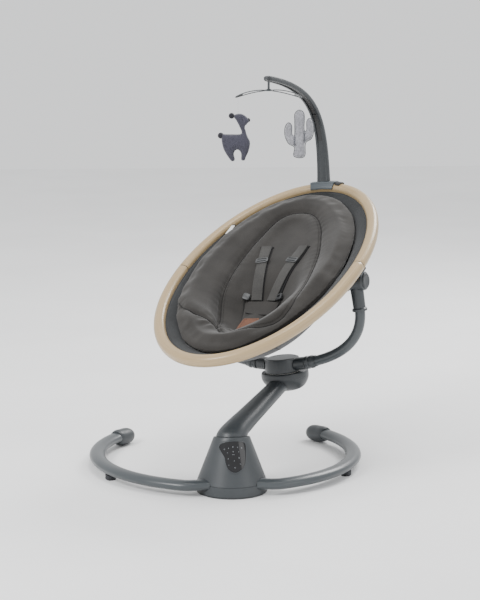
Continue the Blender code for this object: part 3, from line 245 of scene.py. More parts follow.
@dataclass(frozen=True)
class Cloth:
    """A woven, knitted or brushed cloth: matt, with heathered yarns, a thread relief and a soft sheen."""

    name: str
    dark: str
    light: str
    weave: Weave = Weave.KNIT
    thread: float = 2.4 * MM        # real threads are 0.4 to 1 mm; drawn as fine as a view of the whole shows
    depth: float = 0.25 * MM
    sheen: float = 0.25
    heather: float = 2.6 * MM

    def build(self) -> bpy.types.Material:
        """Make the material and return it."""
        made, shader = blank_material(self.name, 0.92, IOR=1.45)
        shader.inputs["Sheen Weight"].default_value = self.sheen
        shader.inputs["Sheen Roughness"].default_value = 0.45
        shader.inputs["Specular IOR Level"].default_value = 0.25
        tree = made.node_tree
        ramp = mottle(tree, self.heather, (self.dark, self.light), 4.0, (0.25, 0.75))
        broad = mottle(tree, 50 * MM, ("e6e6e6", "ffffff"), 2.0)
        tint = add_node(tree, "ShaderNodeMix", {"Factor": 1.0}, {6: ramp.outputs["Color"], 7: broad.outputs["Color"]},
            data_type="RGBA", blend_type="MULTIPLY")
        tree.links.new(tint.outputs[2], shader.inputs["Base Color"])
        place = add_node(tree, "ShaderNodeTexCoord").outputs["Object"]
        bump = add_node(tree, "ShaderNodeBump", {"Strength": 0.8, "Distance": self.depth},
            {"Height": self.relief(tree, place)})
        tree.links.new(bump.outputs[0], shader.inputs["Normal"])
        return made

    def relief(self, tree: bpy.types.NodeTree, place: bpy.types.NodeSocket) -> bpy.types.NodeSocket:
        """Draw the threads.

        Args:
            tree: the material's tree.
            place: Object coordinates.

        Returns:
            The socket of the relief's height, from 0 to 1.
        """
        if self.weave in (Weave.PILE, Weave.KNIT):
            scale = 1 / self.thread
            loops = add_node(tree, "ShaderNodeTexVoronoi", {"Scale": scale, "Randomness": 0.85}, {"Vector": place})
            fuzz = add_node(tree, "ShaderNodeTexNoise", {"Scale": scale * 1.7, "Detail": 3.0}, {"Vector": place})
            both = add_node(tree, "ShaderNodeMath", {1: 0.6}, {0: loops.outputs["Distance"], 2: fuzz.outputs["Fac"]},
                operation="MULTIPLY_ADD")
            return both.outputs[0]
        # A wave texture of scale s has bands 0.314 / s apart.
        scale = 0.314 / self.thread
        across = add_node(tree, "ShaderNodeTexWave", {"Scale": scale, "Distortion": 0.6}, {"Vector": place},
            bands_direction="X")
        along = add_node(tree, "ShaderNodeTexWave", {"Scale": scale, "Distortion": 0.6}, {"Vector": place},
            bands_direction="Y" if self.weave is Weave.MESH else "Z")
        both = add_node(tree, "ShaderNodeMath", links={0: across.outputs["Fac"], 1: along.outputs["Fac"]},
            operation="MAXIMUM")
        return both.outputs[0]


@dataclass(frozen=True)
class PlainFinish:
    """A small piece's finish: one tone with faint variation, and metallic where it is bare metal."""

    name: str
    dark: str
    light: str
    roughness: float
    metallic: float = 0.0
    grain: float = 4 * MM
    depth: float = 0.03 * MM

    def build(self) -> bpy.types.Material:
        """Make the material and return it."""
        made, shader = blank_material(self.name, self.roughness, Metallic=self.metallic)
        tree = made.node_tree
        ramp = mottle(tree, self.grain, (self.dark, self.light))
        bump = add_node(tree, "ShaderNodeBump", {"Strength": 0.5, "Distance": self.depth},
            {"Height": ramp.outputs["Color"]})
        tree.links.new(ramp.outputs["Color"], shader.inputs["Base Color"])
        tree.links.new(bump.outputs[0], shader.inputs["Normal"])
        return made


class Finish(Enum):
    """Every finish on the swing."""

    SHELL = MouldedPlastic("satin_moulded_abs_slate", "303437", "35393c")
    DARK_SHELL = MouldedPlastic("satin_moulded_abs_dark_slate", "23272a", "282c2f", 0.4)
    SADDLE = MouldedPlastic("satin_moulded_abs_blue_slate", "42494e", "484f54", 0.45)
    BLACK_PLASTIC = MouldedPlastic("matt_moulded_nylon_black", "1b1c1e", "232426", 0.5)
    BUCKLE = MouldedPlastic("matt_moulded_acetal_charcoal", "3c3d3e", "464748", 0.45)
    TUBE = PaintedSteel("powder_coated_steel_slate", "393e41", "3e4346")
    RING = LacqueredRing()
    BOWL = Cloth("polyester_mesh_dark_slate", "2a2b2d", "363839", Weave.MESH, 2.2 * MM, 0.2 * MM, 0.2)
    KNIT = Cloth("jersey_knit_graphite", "312f2d", "3a3836", Weave.KNIT, 1.5 * MM, 0.12 * MM, 0.2, 1.8 * MM)
    # Dark knit: real seam thread for the top stitches, and painted shade for the cords laid in the insert's seam
    # grooves, along the crotch piece's edge and across its slit.
    KNIT_THREAD_AND_SHADE = Cloth("jersey_knit_seam_thread_and_painted_shade", "1c1b1a", "252423", Weave.KNIT, 2.0 * MM, 0.15 * MM, 0.1)
    STRAP = Cloth("polyester_webbing_grey", "3d3c3b", "484745", Weave.RIB, 2.0 * MM, 0.2 * MM, 0.15)
    BLACK_WEB = Cloth("polyester_webbing_black", "101011", "1b1b1c", Weave.RIB, 2.0 * MM, 0.25 * MM, 0.1)
    RIBBON = Cloth("satin_ribbon_white", "d9d9d6", "ededea", Weave.RIB, 1.6 * MM, 0.05 * MM, 0.1)
    PLUSH = Cloth("short_pile_plush_slate", "35353f", "4c4b57", Weave.PILE, 2.4 * MM, 0.7 * MM, 0.5)
    DARK_PLUSH = Cloth("short_pile_plush_black", "1d1d23", "2e2e35", Weave.PILE, 3.0 * MM, 1.0 * MM, 0.4)
    # The velour's wide, coarse light and dark mottle is painted sheen of its crushed pile, drawn through the heather.
    VELOUR = Cloth("crushed_velour_silver", "77777c", "a2a2a8", Weave.PILE, 2.6 * MM, 0.35 * MM, 0.6, 4.5 * MM)
    EDGING = Cloth("overlock_thread_grey", "56575c", "686a6f", Weave.RIB, 1.2 * MM, 0.1 * MM, 0.1)
    LEATHER = PlainFinish("vegetable_tanned_leather_tan", "553222", "6c432b", 0.6, 0.0, 3 * MM, 0.12 * MM)
    GLOSS_BLACK = PlainFinish("gloss_acrylic_black", "0c0c0e", "111114", 0.12, 0.0, 30 * MM, 0.0)
    PRINT = PlainFinish("screen_print_white", "888c90", "989ca0", 0.5, 0.0, 6 * MM, 0.0)
    RUBBER = PlainFinish("moulded_rubber_black", "26272a", "303135", 0.8, 0.0, 3 * MM, 0.08 * MM)
    STEEL = PlainFinish("turned_steel", "9a9b9d", "b4b5b8", 0.3, 1.0, 2 * MM, 0.02 * MM)
    ACETAL = PlainFinish("machined_acetal_white", "d2d2cc", "dededa", 0.4)
    BOARD = PlainFinish("fibreglass_board_green", "1d4a2f", "27603c", 0.45)
    LINE = PlainFinish("nylon_line_pale", "c4c4c6", "d4d4d6", 0.4, 0.0, 6 * MM, 0.0)


class Palette:
    """The finishes' materials, each made once when it is first asked for."""

    def __init__(self) -> None:
        """Start with none made."""
        self.made: dict[Finish, bpy.types.Material] = {}

    def __getitem__(self, finish: Finish) -> bpy.types.Material:
        """Return the finish's material."""
        if finish not in self.made:
            self.made[finish] = finish.value.build()
        return self.made[finish]


PALETTE = Palette()


# ---------------------------------------------------------------- mesh building

def mesh_object(name: str, verts: Sequence[Sequence[float]], faces: Sequence[Sequence[int]], sharp: float = 35.0,
        face_out: bool = True) -> Solid:
    """Make an object from vertices and faces, smooth except at sharp edges.

    Args:
        name: its name.
        verts: its points.
        faces: the point numbers of each face.
        sharp: the angle in degrees above which an edge is sharp.
        face_out: whether to turn its faces outwards.

    Returns:
        The new object, linked to the scene.
    """
    mesh = bpy.data.meshes.new(name)
    mesh.from_pydata([tuple(v) for v in verts], [], [tuple(f) for f in faces])
    if face_out:
        built = bmesh.new()
        built.from_mesh(mesh)
        bmesh.ops.remove_doubles(built, verts=built.verts, dist=1e-6)
        bmesh.ops.recalc_face_normals(built, faces=built.faces)
        built.to_mesh(mesh)
        built.free()
    mesh.shade_smooth()
    mesh.set_sharp_from_angle(angle=math.radians(sharp))
    made = bpy.data.objects.new(name, mesh)
    bpy.context.scene.collection.objects.link(made)
    return made


def loft(name: str, rings: Rings, wrap: bool = False, sharp: float = 35.0) -> Solid:
    """Make a closed solid through rings of points.

    Args:
        name: the object's name.
        rings: rings with the same number of points.
        wrap: whether the last ring joins the first, in place of flat ends.
        sharp: as in mesh_object.

    Returns:
        The new object.
    """
    count = len(rings[0])
    verts = [point for ring in rings for point in ring]
    faces: list[tuple[int, ...]] = []
    for k in range(len(rings) if wrap else len(rings) - 1):
        low, high = k * count, (k + 1) % len(rings) * count
        faces += [(low + i, low + (i + 1) % count, high + (i + 1) % count, high + i) for i in range(count)]
    if not wrap:
        faces += [tuple(range(count)), tuple(range(len(verts) - count, len(verts)))]
    return mesh_object(name, verts, faces, sharp)


def turned(name: str, profile: Sequence[Point], place: Matrix, steps: int = 64,
        sharp: float = 35.0) -> Solid:
    """Turn a profile about a frame's Z.

    Args:
        name: the object's name.
        profile: (radius, height) points; the solid closes through the axis where a radius is 0.
        place: the frame.
        steps: points round.
        sharp: as in mesh_object.

    Returns:
        The new object.
    """
    angles = [math.tau * i / steps for i in range(steps)]
    rings = [[place @ Vector((max(r, 1e-7) * math.cos(a), max(r, 1e-7) * math.sin(a), h)) for a in angles] for r,
        h in profile]
    return loft(name, rings, wrap=True, sharp=sharp)


def ellipse(half_width: float, half_height: float, steps: int, power: float = 2.0) -> list[Point]:
    """Return points round an ellipse, or round a softened rectangle for a power above 2."""
    points = []
    for i in range(steps):
        angle = math.tau * (i + 0.5) / steps
        c, s = math.cos(angle), math.sin(angle)
        points.append((half_width * math.copysign(abs(c) ** (2 / power), c),
            half_height * math.copysign(abs(s) ** (2 / power), s)))
    return points


def directions(path: Sequence[Vector]) -> list[Vector]:
    """Return the direction of travel at each point of a path."""
    middle = [(after - before).normalized() for before, after in zip(path, path[2:])]
    first, last = path[1] - path[0], path[-1] - path[-2]
    if len(path) > 2:
        first = 2 * first.normalized() - middle[0]
        last = 2 * last.normalized() - middle[-1]
    return [first.normalized()] + middle + [last.normalized()]


def sweep_rings(path: Sequence[Vector], sections: Sequence[Sequence[Point]], side: Vector) -> list[list[Vector]]:
    """Set sections square to a path.

    Args:
        path: the points that the sections sit at.
        sections: for each point, the section's (across, up) points.
        side: the across direction, before it is squared to the path.

    Returns:
        One ring for each point.
    """
    rings = []
    for point, along, section in zip(path, directions(path), sections):
        across = (side - along * side.dot(along)).normalized()
        up = across.cross(along)
        rings.append([point + across * u + up * v for u, v in section])
    return rings


def bezier(points: Sequence[Vector], steps: int, start: float = 0.0, end: float = 1.0) -> list[Vector]:
    """Return steps + 1 points of a cubic Bezier curve between two of its shares."""
    a, b, c, d = points
    shares = [start + (end - start) * i / steps for i in range(steps + 1)]
    return [a * (1 - t) ** 3 + b * (3 * t * (1 - t) ** 2) + c * (3 * t * t * (1 - t)) + d * t ** 3 for t in shares]


def smooth_loop(corners: Sequence[Sequence[float]], steps: int, closed: bool = True) -> list[Vector]:
    """Return a smooth curve through the corners.

    Args:
        corners: points of two or three coordinates.
        steps: points between each two corners.
        closed: whether the curve comes back to its start.

    Returns:
        The curve's points.
    """
    points = []
    count = len(corners)
    for i in range(count if closed else count - 1):
        if closed:
            a, b, c, d = (Vector(corners[(i + k) % count]) for k in (-1, 0, 1, 2))
        else:
            a, b, c, d = (Vector(corners[min(max(i + k, 0), count - 1)]) for k in (-1, 0, 1, 2))
        for k in range(steps):
            t = k / steps
            points.append(0.5 * (2 * b + (c - a) * t + (2 * a - 5 * b + 4 * c - d) * t * t + (3 * b - a - 3 * c + d)
                * t ** 3))
    return points if closed else points + [Vector(corners[-1])]


def grown(outline: Sequence[Vector], distance: float) -> list[Vector]:
    """Return a flat closed anticlockwise outline moved outwards by a distance."""
    moved = []
    for i, point in enumerate(outline):
        along = (outline[(i + 1) % len(outline)] - outline[i - 1]).normalized()
        moved.append(point + Vector((along.y, -along.x)) * distance)
    return moved


def settle(made: Solid, sharp: Optional[float] = None) -> Solid:
    """Turn an object and its modifiers into a plain mesh.

    Args:
        made: the object.
        sharp: if given, the angle in degrees above which its edges are sharp.

    Returns:
        The same object, with no modifiers.
    """
    bpy.context.view_layer.update()
    graph = bpy.context.evaluated_depsgraph_get()
    mesh = bpy.data.meshes.new_from_object(made.evaluated_get(graph))
    made.modifiers.clear()
    made.data = mesh
    if sharp is not None:
        mesh.shade_smooth()
        mesh.set_sharp_from_angle(angle=math.radians(sharp))
    return made


def cut(made: Solid, tool: Solid, operation: str = "DIFFERENCE",
        sharp: float = 35.0) -> Solid:
    """Cut, join or intersect an object with a tool, which is then removed.

    Args:
        made: the object that changes.
        tool: the solid used on it.
        operation: DIFFERENCE, UNION or INTERSECT.
        sharp: as in mesh_object.

    Returns:
        The changed object.
    """
    boolean = made.modifiers.new("Cut", "BOOLEAN")
    boolean.operation = operation
    boolean.solver = "EXACT"
    boolean.object = tool
    settle(made, sharp)
    bpy.data.objects.remove(tool)
    return made


def soften(made: Solid, width: float, segments: int = 2, angle: float = 35.0) -> Solid:
    """Round an object's sharp edges.

    Args:
        made: the object.
        width: the rounding's width.
        segments: how many faces it has.
        angle: the least angle in degrees that counts as an edge.

    Returns:
        The same object.
    """
    bevel = made.modifiers.new("Round", "BEVEL")
    bevel.width = width
    bevel.segments = segments
    bevel.limit_method = "ANGLE"
    bevel.angle_limit = math.radians(angle)
    bevel.use_clamp_overlap = True
    return settle(made, 60.0)


def ring_uv(made: Solid, lengths: Sequence[float], rounds: Sequence[float]) -> None:
    """Give a lofted object UVs in metres along and round it.

    Args:
        made: an object from loft, with its points in the order of its rings.
        lengths: how far along each ring is.
        rounds: how far round each point of a ring is.
    """
    layer = made.data.uv_layers.new(name="Along")
    count = len(rounds)
    for loop in made.data.loops:
        ring, place = divmod(loop.vertex_index, count)
        layer.data[loop.index].uv = (lengths[min(ring, len(lengths) - 1)], rounds[place])


def coordinates(made: Solid) -> np.ndarray:
    """Return an object's vertices as an array of rows."""
    flat = np.empty(len(made.data.vertices) * 3)
    made.data.vertices.foreach_get("co", flat)
    return flat.reshape(-1, 3)


def set_coordinates(made: Solid, rows: np.ndarray) -> None:
    """Move an object's vertices to an array of rows."""
    made.data.vertices.foreach_set("co", np.ascontiguousarray(rows, dtype=float).ravel())
    made.data.update()


def normals(made: Solid) -> np.ndarray:
    """Return an object's vertex normals as an array of rows."""
    flat = np.empty(len(made.data.vertices) * 3)
    made.data.vertex_normals.foreach_get("vector", flat)
    return flat.reshape(-1, 3)


def remesh(made: Solid, voxel: float) -> Solid:
    """Rebuild an object's surface as even cells of a size; overlapping solids join."""
    cells = made.modifiers.new("Cells", "REMESH")
    cells.mode = "VOXEL"
    cells.voxel_size = voxel
    return settle(made, 180.0)


def relax(rows: np.ndarray, edges: np.ndarray, turns: int, share: float = 0.5) -> np.ndarray:
    """Smooth points towards their neighbours' middle.

    Args:
        rows: the points.
        edges: pairs of point numbers.
        turns: how many times.
        share: how far towards the middle each time.

    Returns:
        The smoothed points.
    """
    count = np.bincount(edges.ravel(), minlength=len(rows))[:, None]
    for _ in range(turns):
        total = np.zeros_like(rows)
        np.add.at(total, edges[:, 0], rows[edges[:, 1]])
        np.add.at(total, edges[:, 1], rows[edges[:, 0]])
        rows = rows + (total / np.maximum(count, 1) - rows) * share
    return rows


def edges_of(made: Solid) -> np.ndarray:
    """Return an object's edges as pairs of point numbers."""
    flat = np.empty(len(made.data.edges) * 2, dtype=int)
    made.data.edges.foreach_get("vertices", flat)
    return flat.reshape(-1, 2)


def stuff(made: Solid, voxel: float, pressure: float, cap: float,
        limit: Optional[Callable[[np.ndarray, np.ndarray], np.ndarray]] = None) -> Solid:
    """Swell a blank into a stuffed form with a short cloth simulation.

    Args:
        made: a closed blank, a little smaller than the finished piece.
        voxel: the size of the cells that it is rebuilt in.
        pressure: the stuffing's pressure.
        cap: how far a point may move.
        limit: takes the points and their normals, and returns each point's own share of the cap.

    Returns:
        The same object with its swollen mesh.
    """
    remesh(made, voxel)
    before = coordinates(made)
    caps = np.full(len(before), cap)
    if limit:
        caps = caps * limit(before, normals(made))
    cloth = made.modifiers.new("Stuffing", "CLOTH")
    cloth.settings.use_pressure = True
    cloth.settings.uniform_pressure_force = pressure
    cloth.settings.effector_weights.gravity = 0
    cloth.settings.quality = 4
    scene = bpy.context.scene
    for step in range(1, 21):
        scene.frame_set(step)
    graph = bpy.context.evaluated_depsgraph_get()
    swollen = made.evaluated_get(graph).to_mesh()
    after = np.empty(len(swollen.vertices) * 3)
    swollen.vertices.foreach_get("co", after)
    made.evaluated_get(graph).to_mesh_clear()
    made.modifiers.clear()
    scene.frame_set(1)
    move = after.reshape(-1, 3) - before
    length = np.maximum(np.linalg.norm(move, axis=1), 1e-9)
    set_coordinates(made, before + move * (np.minimum(length, caps) / length)[:, None])
    return made


def subdivide(made: Solid, levels: int = 1) -> Solid:
    """Smooth an object by subdivision and apply it."""
    finer = made.modifiers.new("Finer", "SUBSURF")
    finer.levels = finer.render_levels = levels
    return settle(made, 180.0)


def joined(name: str, pieces: Sequence[Solid]) -> Solid:
    """Join several objects' meshes into one new object and remove them."""
    built = bmesh.new()
    for piece in pieces:
        built.from_mesh(piece.data)
    mesh = bpy.data.meshes.new(name)
    built.to_mesh(mesh)
    built.free()
    for piece in pieces:
        bpy.data.objects.remove(piece)
    made = bpy.data.objects.new(name, mesh)
    bpy.context.scene.collection.objects.link(made)
    return made


def box_solid(name: str, place: Matrix, size: Sequence[float], power: float = 5.0, steps: int = 24,
        rounding: float = 0.2) -> Solid:
    """Make a softened block.

    Args:
        name: its name.
        place: the frame of its middle.
        size: its full size along the frame's X, Y and Z.
        power: how square its outline is.
        steps: points round its outline.
        rounding: the share of its height that its edges round over.

    Returns:
        The new object.
    """
    rings = []
    half = size[2] / 2
    for share, shrink in ((-1, 0.86), (-1 + rounding, 0.97), (-1 + 2 * rounding, 1.0), (1 - 2 * rounding, 1.0),
            (1 - rounding, 0.97), (1, 0.86)):
        outline = ellipse(size[0] / 2 * shrink, size[1] / 2 * shrink, steps, power)
        rings.append([place @ Vector((u, v, half * share)) for u, v in outline])
    return loft(name, rings, sharp=50)


# ---------------------------------------------------------------- geometry nodes

class Follow(Enum):
    """What a Geometry Nodes tree lays along a line."""

    CORD = "a round cord"
    STITCH = "separate stitches"


def follow_tree(kind: Follow) -> bpy.types.NodeTree:
    """Build the node group that follows a line of edges with a cord or with stitches.

    Args:
        kind: which of the two.

    Returns:
        The group, with inputs Radius, Spacing, Length and Finish.
    """
    tree = bpy.data.node_groups.new("lay_" + kind.name.lower(), "GeometryNodeTree")
    face = tree.interface
    face.new_socket("Geometry", in_out="INPUT", socket_type="NodeSocketGeometry")
    for name in ("Radius", "Spacing", "Length"):
        face.new_socket(name, in_out="INPUT", socket_type="NodeSocketFloat")
    face.new_socket("Finish", in_out="INPUT", socket_type="NodeSocketMaterial")
    face.new_socket("Geometry", in_out="OUTPUT", socket_type="NodeSocketGeometry")
    given = add_node(tree, "NodeGroupInput").outputs
    line = add_node(tree, "GeometryNodeMeshToCurve", links={0: given["Geometry"]})
    even = add_node(tree, "GeometryNodeResampleCurve", links={"Curve": line.outputs[0], "Length": given["Spacing"]},
        mode="LENGTH")
    if kind is Follow.CORD:
        circle = add_node(tree, "GeometryNodeCurvePrimitiveCircle", {"Resolution": 8}, {"Radius": given["Radius"]})
        body = add_node(tree, "GeometryNodeCurveToMesh", {"Fill Caps": True},
            {"Curve": even.outputs[0], "Profile Curve": circle.outputs[0]}).outputs[0]
    else:
        ball = add_node(tree, "GeometryNodeMeshUVSphere", {"Segments": 6, "Rings": 4}, {"Radius": given["Radius"]})
        ratio = add_node(tree, "ShaderNodeMath", links={0: given["Length"], 1: given["Radius"]}, operation="DIVIDE")
        stretch = add_node(tree, "ShaderNodeCombineXYZ", {"X": 1.0, "Y": 1.0}, {"Z": ratio.outputs[0]})
        along = add_node(tree, "GeometryNodeInputTangent")
        turn = add_node(tree, "FunctionNodeAlignEulerToVector", links={"Vector": along.outputs[0]}, axis="Z")
        set_out = add_node(tree, "GeometryNodeInstanceOnPoints", links={"Points": even.outputs[0],
            "Instance": ball.outputs[0], "Rotation": turn.outputs[0], "Scale": stretch.outputs[0]})
        body = set_out.outputs[0]
    real = add_node(tree, "GeometryNodeRealizeInstances", links={0: body})
    smooth = add_node(tree, "GeometryNodeSetShadeSmooth", links={0: real.outputs[0]})
    dressed = add_node(tree, "GeometryNodeSetMaterial", links={"Geometry": smooth.outputs[0],
        "Material": given["Finish"]})
    add_node(tree, "NodeGroupOutput", links={0: dressed.outputs[0]})
    return tree


TREES: dict[Follow, bpy.types.NodeTree] = {}


def lay(name: str, lines: Sequence[tuple[Sequence[Vector], bool]], kind: Follow, radius: float, spacing: float,
        finish: Finish, length: float = 0.0) -> Solid:
    """Lay a cord or stitches along lines.

    Args:
        name: the new object's name.
        lines: each line's points and whether it closes.
        kind: cord or stitches.
        radius: the cord's or thread's radius.
        spacing: the distance between points or stitches.
        finish: its finish.
        length: each stitch's half length.

    Returns:
        The new object, a plain mesh.
    """
    verts: list[tuple[float, ...]] = []
    edges: list[tuple[int, int]] = []
    for points, closed in lines:
        first = len(verts)
        verts += [tuple(p) for p in points]
        edges += [(first + i, first + i + 1) for i in range(len(points) - 1)]
        if closed:
            edges.append((len(verts) - 1, first))
    mesh = bpy.data.meshes.new(name)
    mesh.from_pydata(verts, edges, [])
    made = bpy.data.objects.new(name, mesh)
    if kind not in TREES:
        TREES[kind] = follow_tree(kind)
    tree = TREES[kind]
    layer = made.modifiers.new("Lay", "NODES")
    layer.node_group = tree
    values = {"Radius": radius, "Spacing": spacing, "Length": length, "Finish": PALETTE[finish]}
    for item in tree.interface.items_tree:
        if item.in_out == "INPUT" and item.name in values:
            layer[item.identifier] = values[item.name]
    bpy.context.scene.collection.objects.link(made)
    return settle(made)


# ---------------------------------------------------------------- frames and bookkeeping

@dataclass(frozen=True)
class Frames:
    """The frames that the sub-assemblies are built in, from the joints' places and axes."""

    swing: Matrix   # the arm's: X across, Y straight back along it, Z up the hub's axis; on the floor under the housing
    turn: Matrix    # the same axes, on the hub's own axis
    seat: Matrix    # X across, Y towards the head, Z out of the seat; on the recline line
    hang: Matrix    # the mobile's: X along its bow, Z up; at the stem's top
    hooks: tuple[Vector, Vector]

    @classmethod
    def from_joints(cls, recline: float) -> "Frames":
        """Work the frames out.

        Args:
            recline: how far the seat leans back from square to the hub's axis, in radians.

        Returns:
            The frames.
        """
        joints = {joint["name"]: joint for joint in frame["joints"]}
        up = Vector(joints["seat_turntable"]["axis"]).normalized()
        across = Vector(joints["seat_recline"]["axis"]).normalized()
        back = up.cross(across).normalized()
        swing = placed(Vector(joints["arm_swing"]["pos_m"]), across, back, up)
        turn = placed(Vector(joints["seat_turntable"]["pos_m"]), across, back, up)
        head = back * math.cos(recline) + up * math.sin(recline)
        seat = placed(Vector(joints["seat_recline"]["pos_m"]), across, head, across.cross(head))
        left, right = (Vector(joints[name]["pos_m"]) for name in ("llama_swing", "cactus_swing"))
        bow = (right - left).normalized()
        hang = placed(Vector(joints["mobile_spin"]["pos_m"]), bow, Vector((0, 0, 1)).cross(bow), Vector((0, 0, 1)))
        return cls(swing, turn, seat, hang, (left, right))


def placed(origin: Vector, x: Vector, y: Vector, z: Vector) -> Matrix:
    """Return the frame with an origin and three axes."""
    made = Matrix((x, y, z)).transposed().to_4x4()
    made.translation = origin
    return made


def dress(made: Solid, finish: Finish, body: str, replaces: Sequence[str] = ()) -> Solid:
    """Give a piece its finish, its body, and the CAD nodes that it stands for.

    Args:
        made: the finished piece.
        finish: its finish, unless its mesh already has materials.
        body: the body that it rides on.
        replaces: the CAD nodes that it stands for.

    Returns:
        The same piece.
    """
    if not len(made.data.materials):
        made.data.materials.append(PALETTE[finish])
    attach(made, body)
    if replaces:
        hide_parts(*replaces)
    LOG.info("%s rides on %s, %d faces", made.name, body, len(made.data.polygons))
    return made


def repaint(node: str, finish: Finish) -> None:
    """Give a CAD node that stays in view a new finish."""
    kept = frame["nodes"][node]
    kept.data.materials.clear()
    kept.data.materials.append(PALETTE[finish])
    LOG.info("%s keeps its own shape", node)


# ---------------------------------------------------------------- sub-assemblies

@dataclass
class Studio:
    """The camera, the lights and the floor."""

    place: tuple[float, float, float] = (-0.25923, -4.06873, 1.15518)
    lens: float = 120.0
    down: float = 10.32
    turn: float = -3.87

    def build(self) -> None:
        """Make the camera, three soft lights, a pale world and the floor."""
        scene = bpy.context.scene
        data = bpy.data.cameras.new("View")
        data.lens = self.lens
        data.sensor_fit = "VERTICAL"
        data.sensor_height = 36.0
        camera = bpy.data.objects.new("View", data)
        camera.location = self.place
        camera.rotation_euler = (math.radians(90 - self.down), 0, math.radians(self.turn))
        scene.collection.objects.link(camera)
        scene.camera = camera
        for name, place, size, power, aim in (("Key", (-2.2, -1.6, 2.4), 1.1, 80, (0, 0.15, 0.35)),
                ("Fill", (2.4, -1.8, 1.5), 1.6, 14, (0, 0.15, 0.35)), ("Back", (1.6, 1.9, 2.2), 1.2, 60,
                (0, 0.2, 0.4)), ("Top", (0.2, 0.0, 3.0), 1.2, 26, (0, 0.2, 0.3))):
            self.light(name, Vector(place), size, power, Vector(aim))
        world = bpy.data.worlds.new("Pale_room")
        world.use_nodes = True
        world.node_tree.nodes["Background"].inputs["Color"].default_value = linear("f4f5f6")
        world.node_tree.nodes["Background"].inputs["Strength"].default_value = 1.25
        scene.world = world
        floor = mesh_object("Floor", [(-6, -6, 0), (6, -6, 0), (6, 6, 0), (-6, 6, 0)], [(0, 1, 2, 3)], face_out=False)
        floor.data.materials.append(PlainFinish("matt_paper_white", "f3f3f3", "f7f7f7", 0.9, 0.0, 400 * MM,
            0.0).build())
        LOG.info("Studio built")

    def light(self, name: str, place: Vector, size: float, power: float, aim: Vector) -> None:
        """Hang one soft square light.

        Args:
            name: its name.
            place: where it hangs.
            size: its side.
            power: its power in watts.
            aim: the point that it faces.
        """
        data = bpy.data.lights.new(name, "AREA")
        data.size = size
        data.energy = power
        lamp = bpy.data.objects.new(name, data)
        lamp.location = place
        lamp.rotation_euler = (aim - place).to_track_quat("-Z", "Y").to_euler()
        bpy.context.scene.collection.objects.link(lamp)


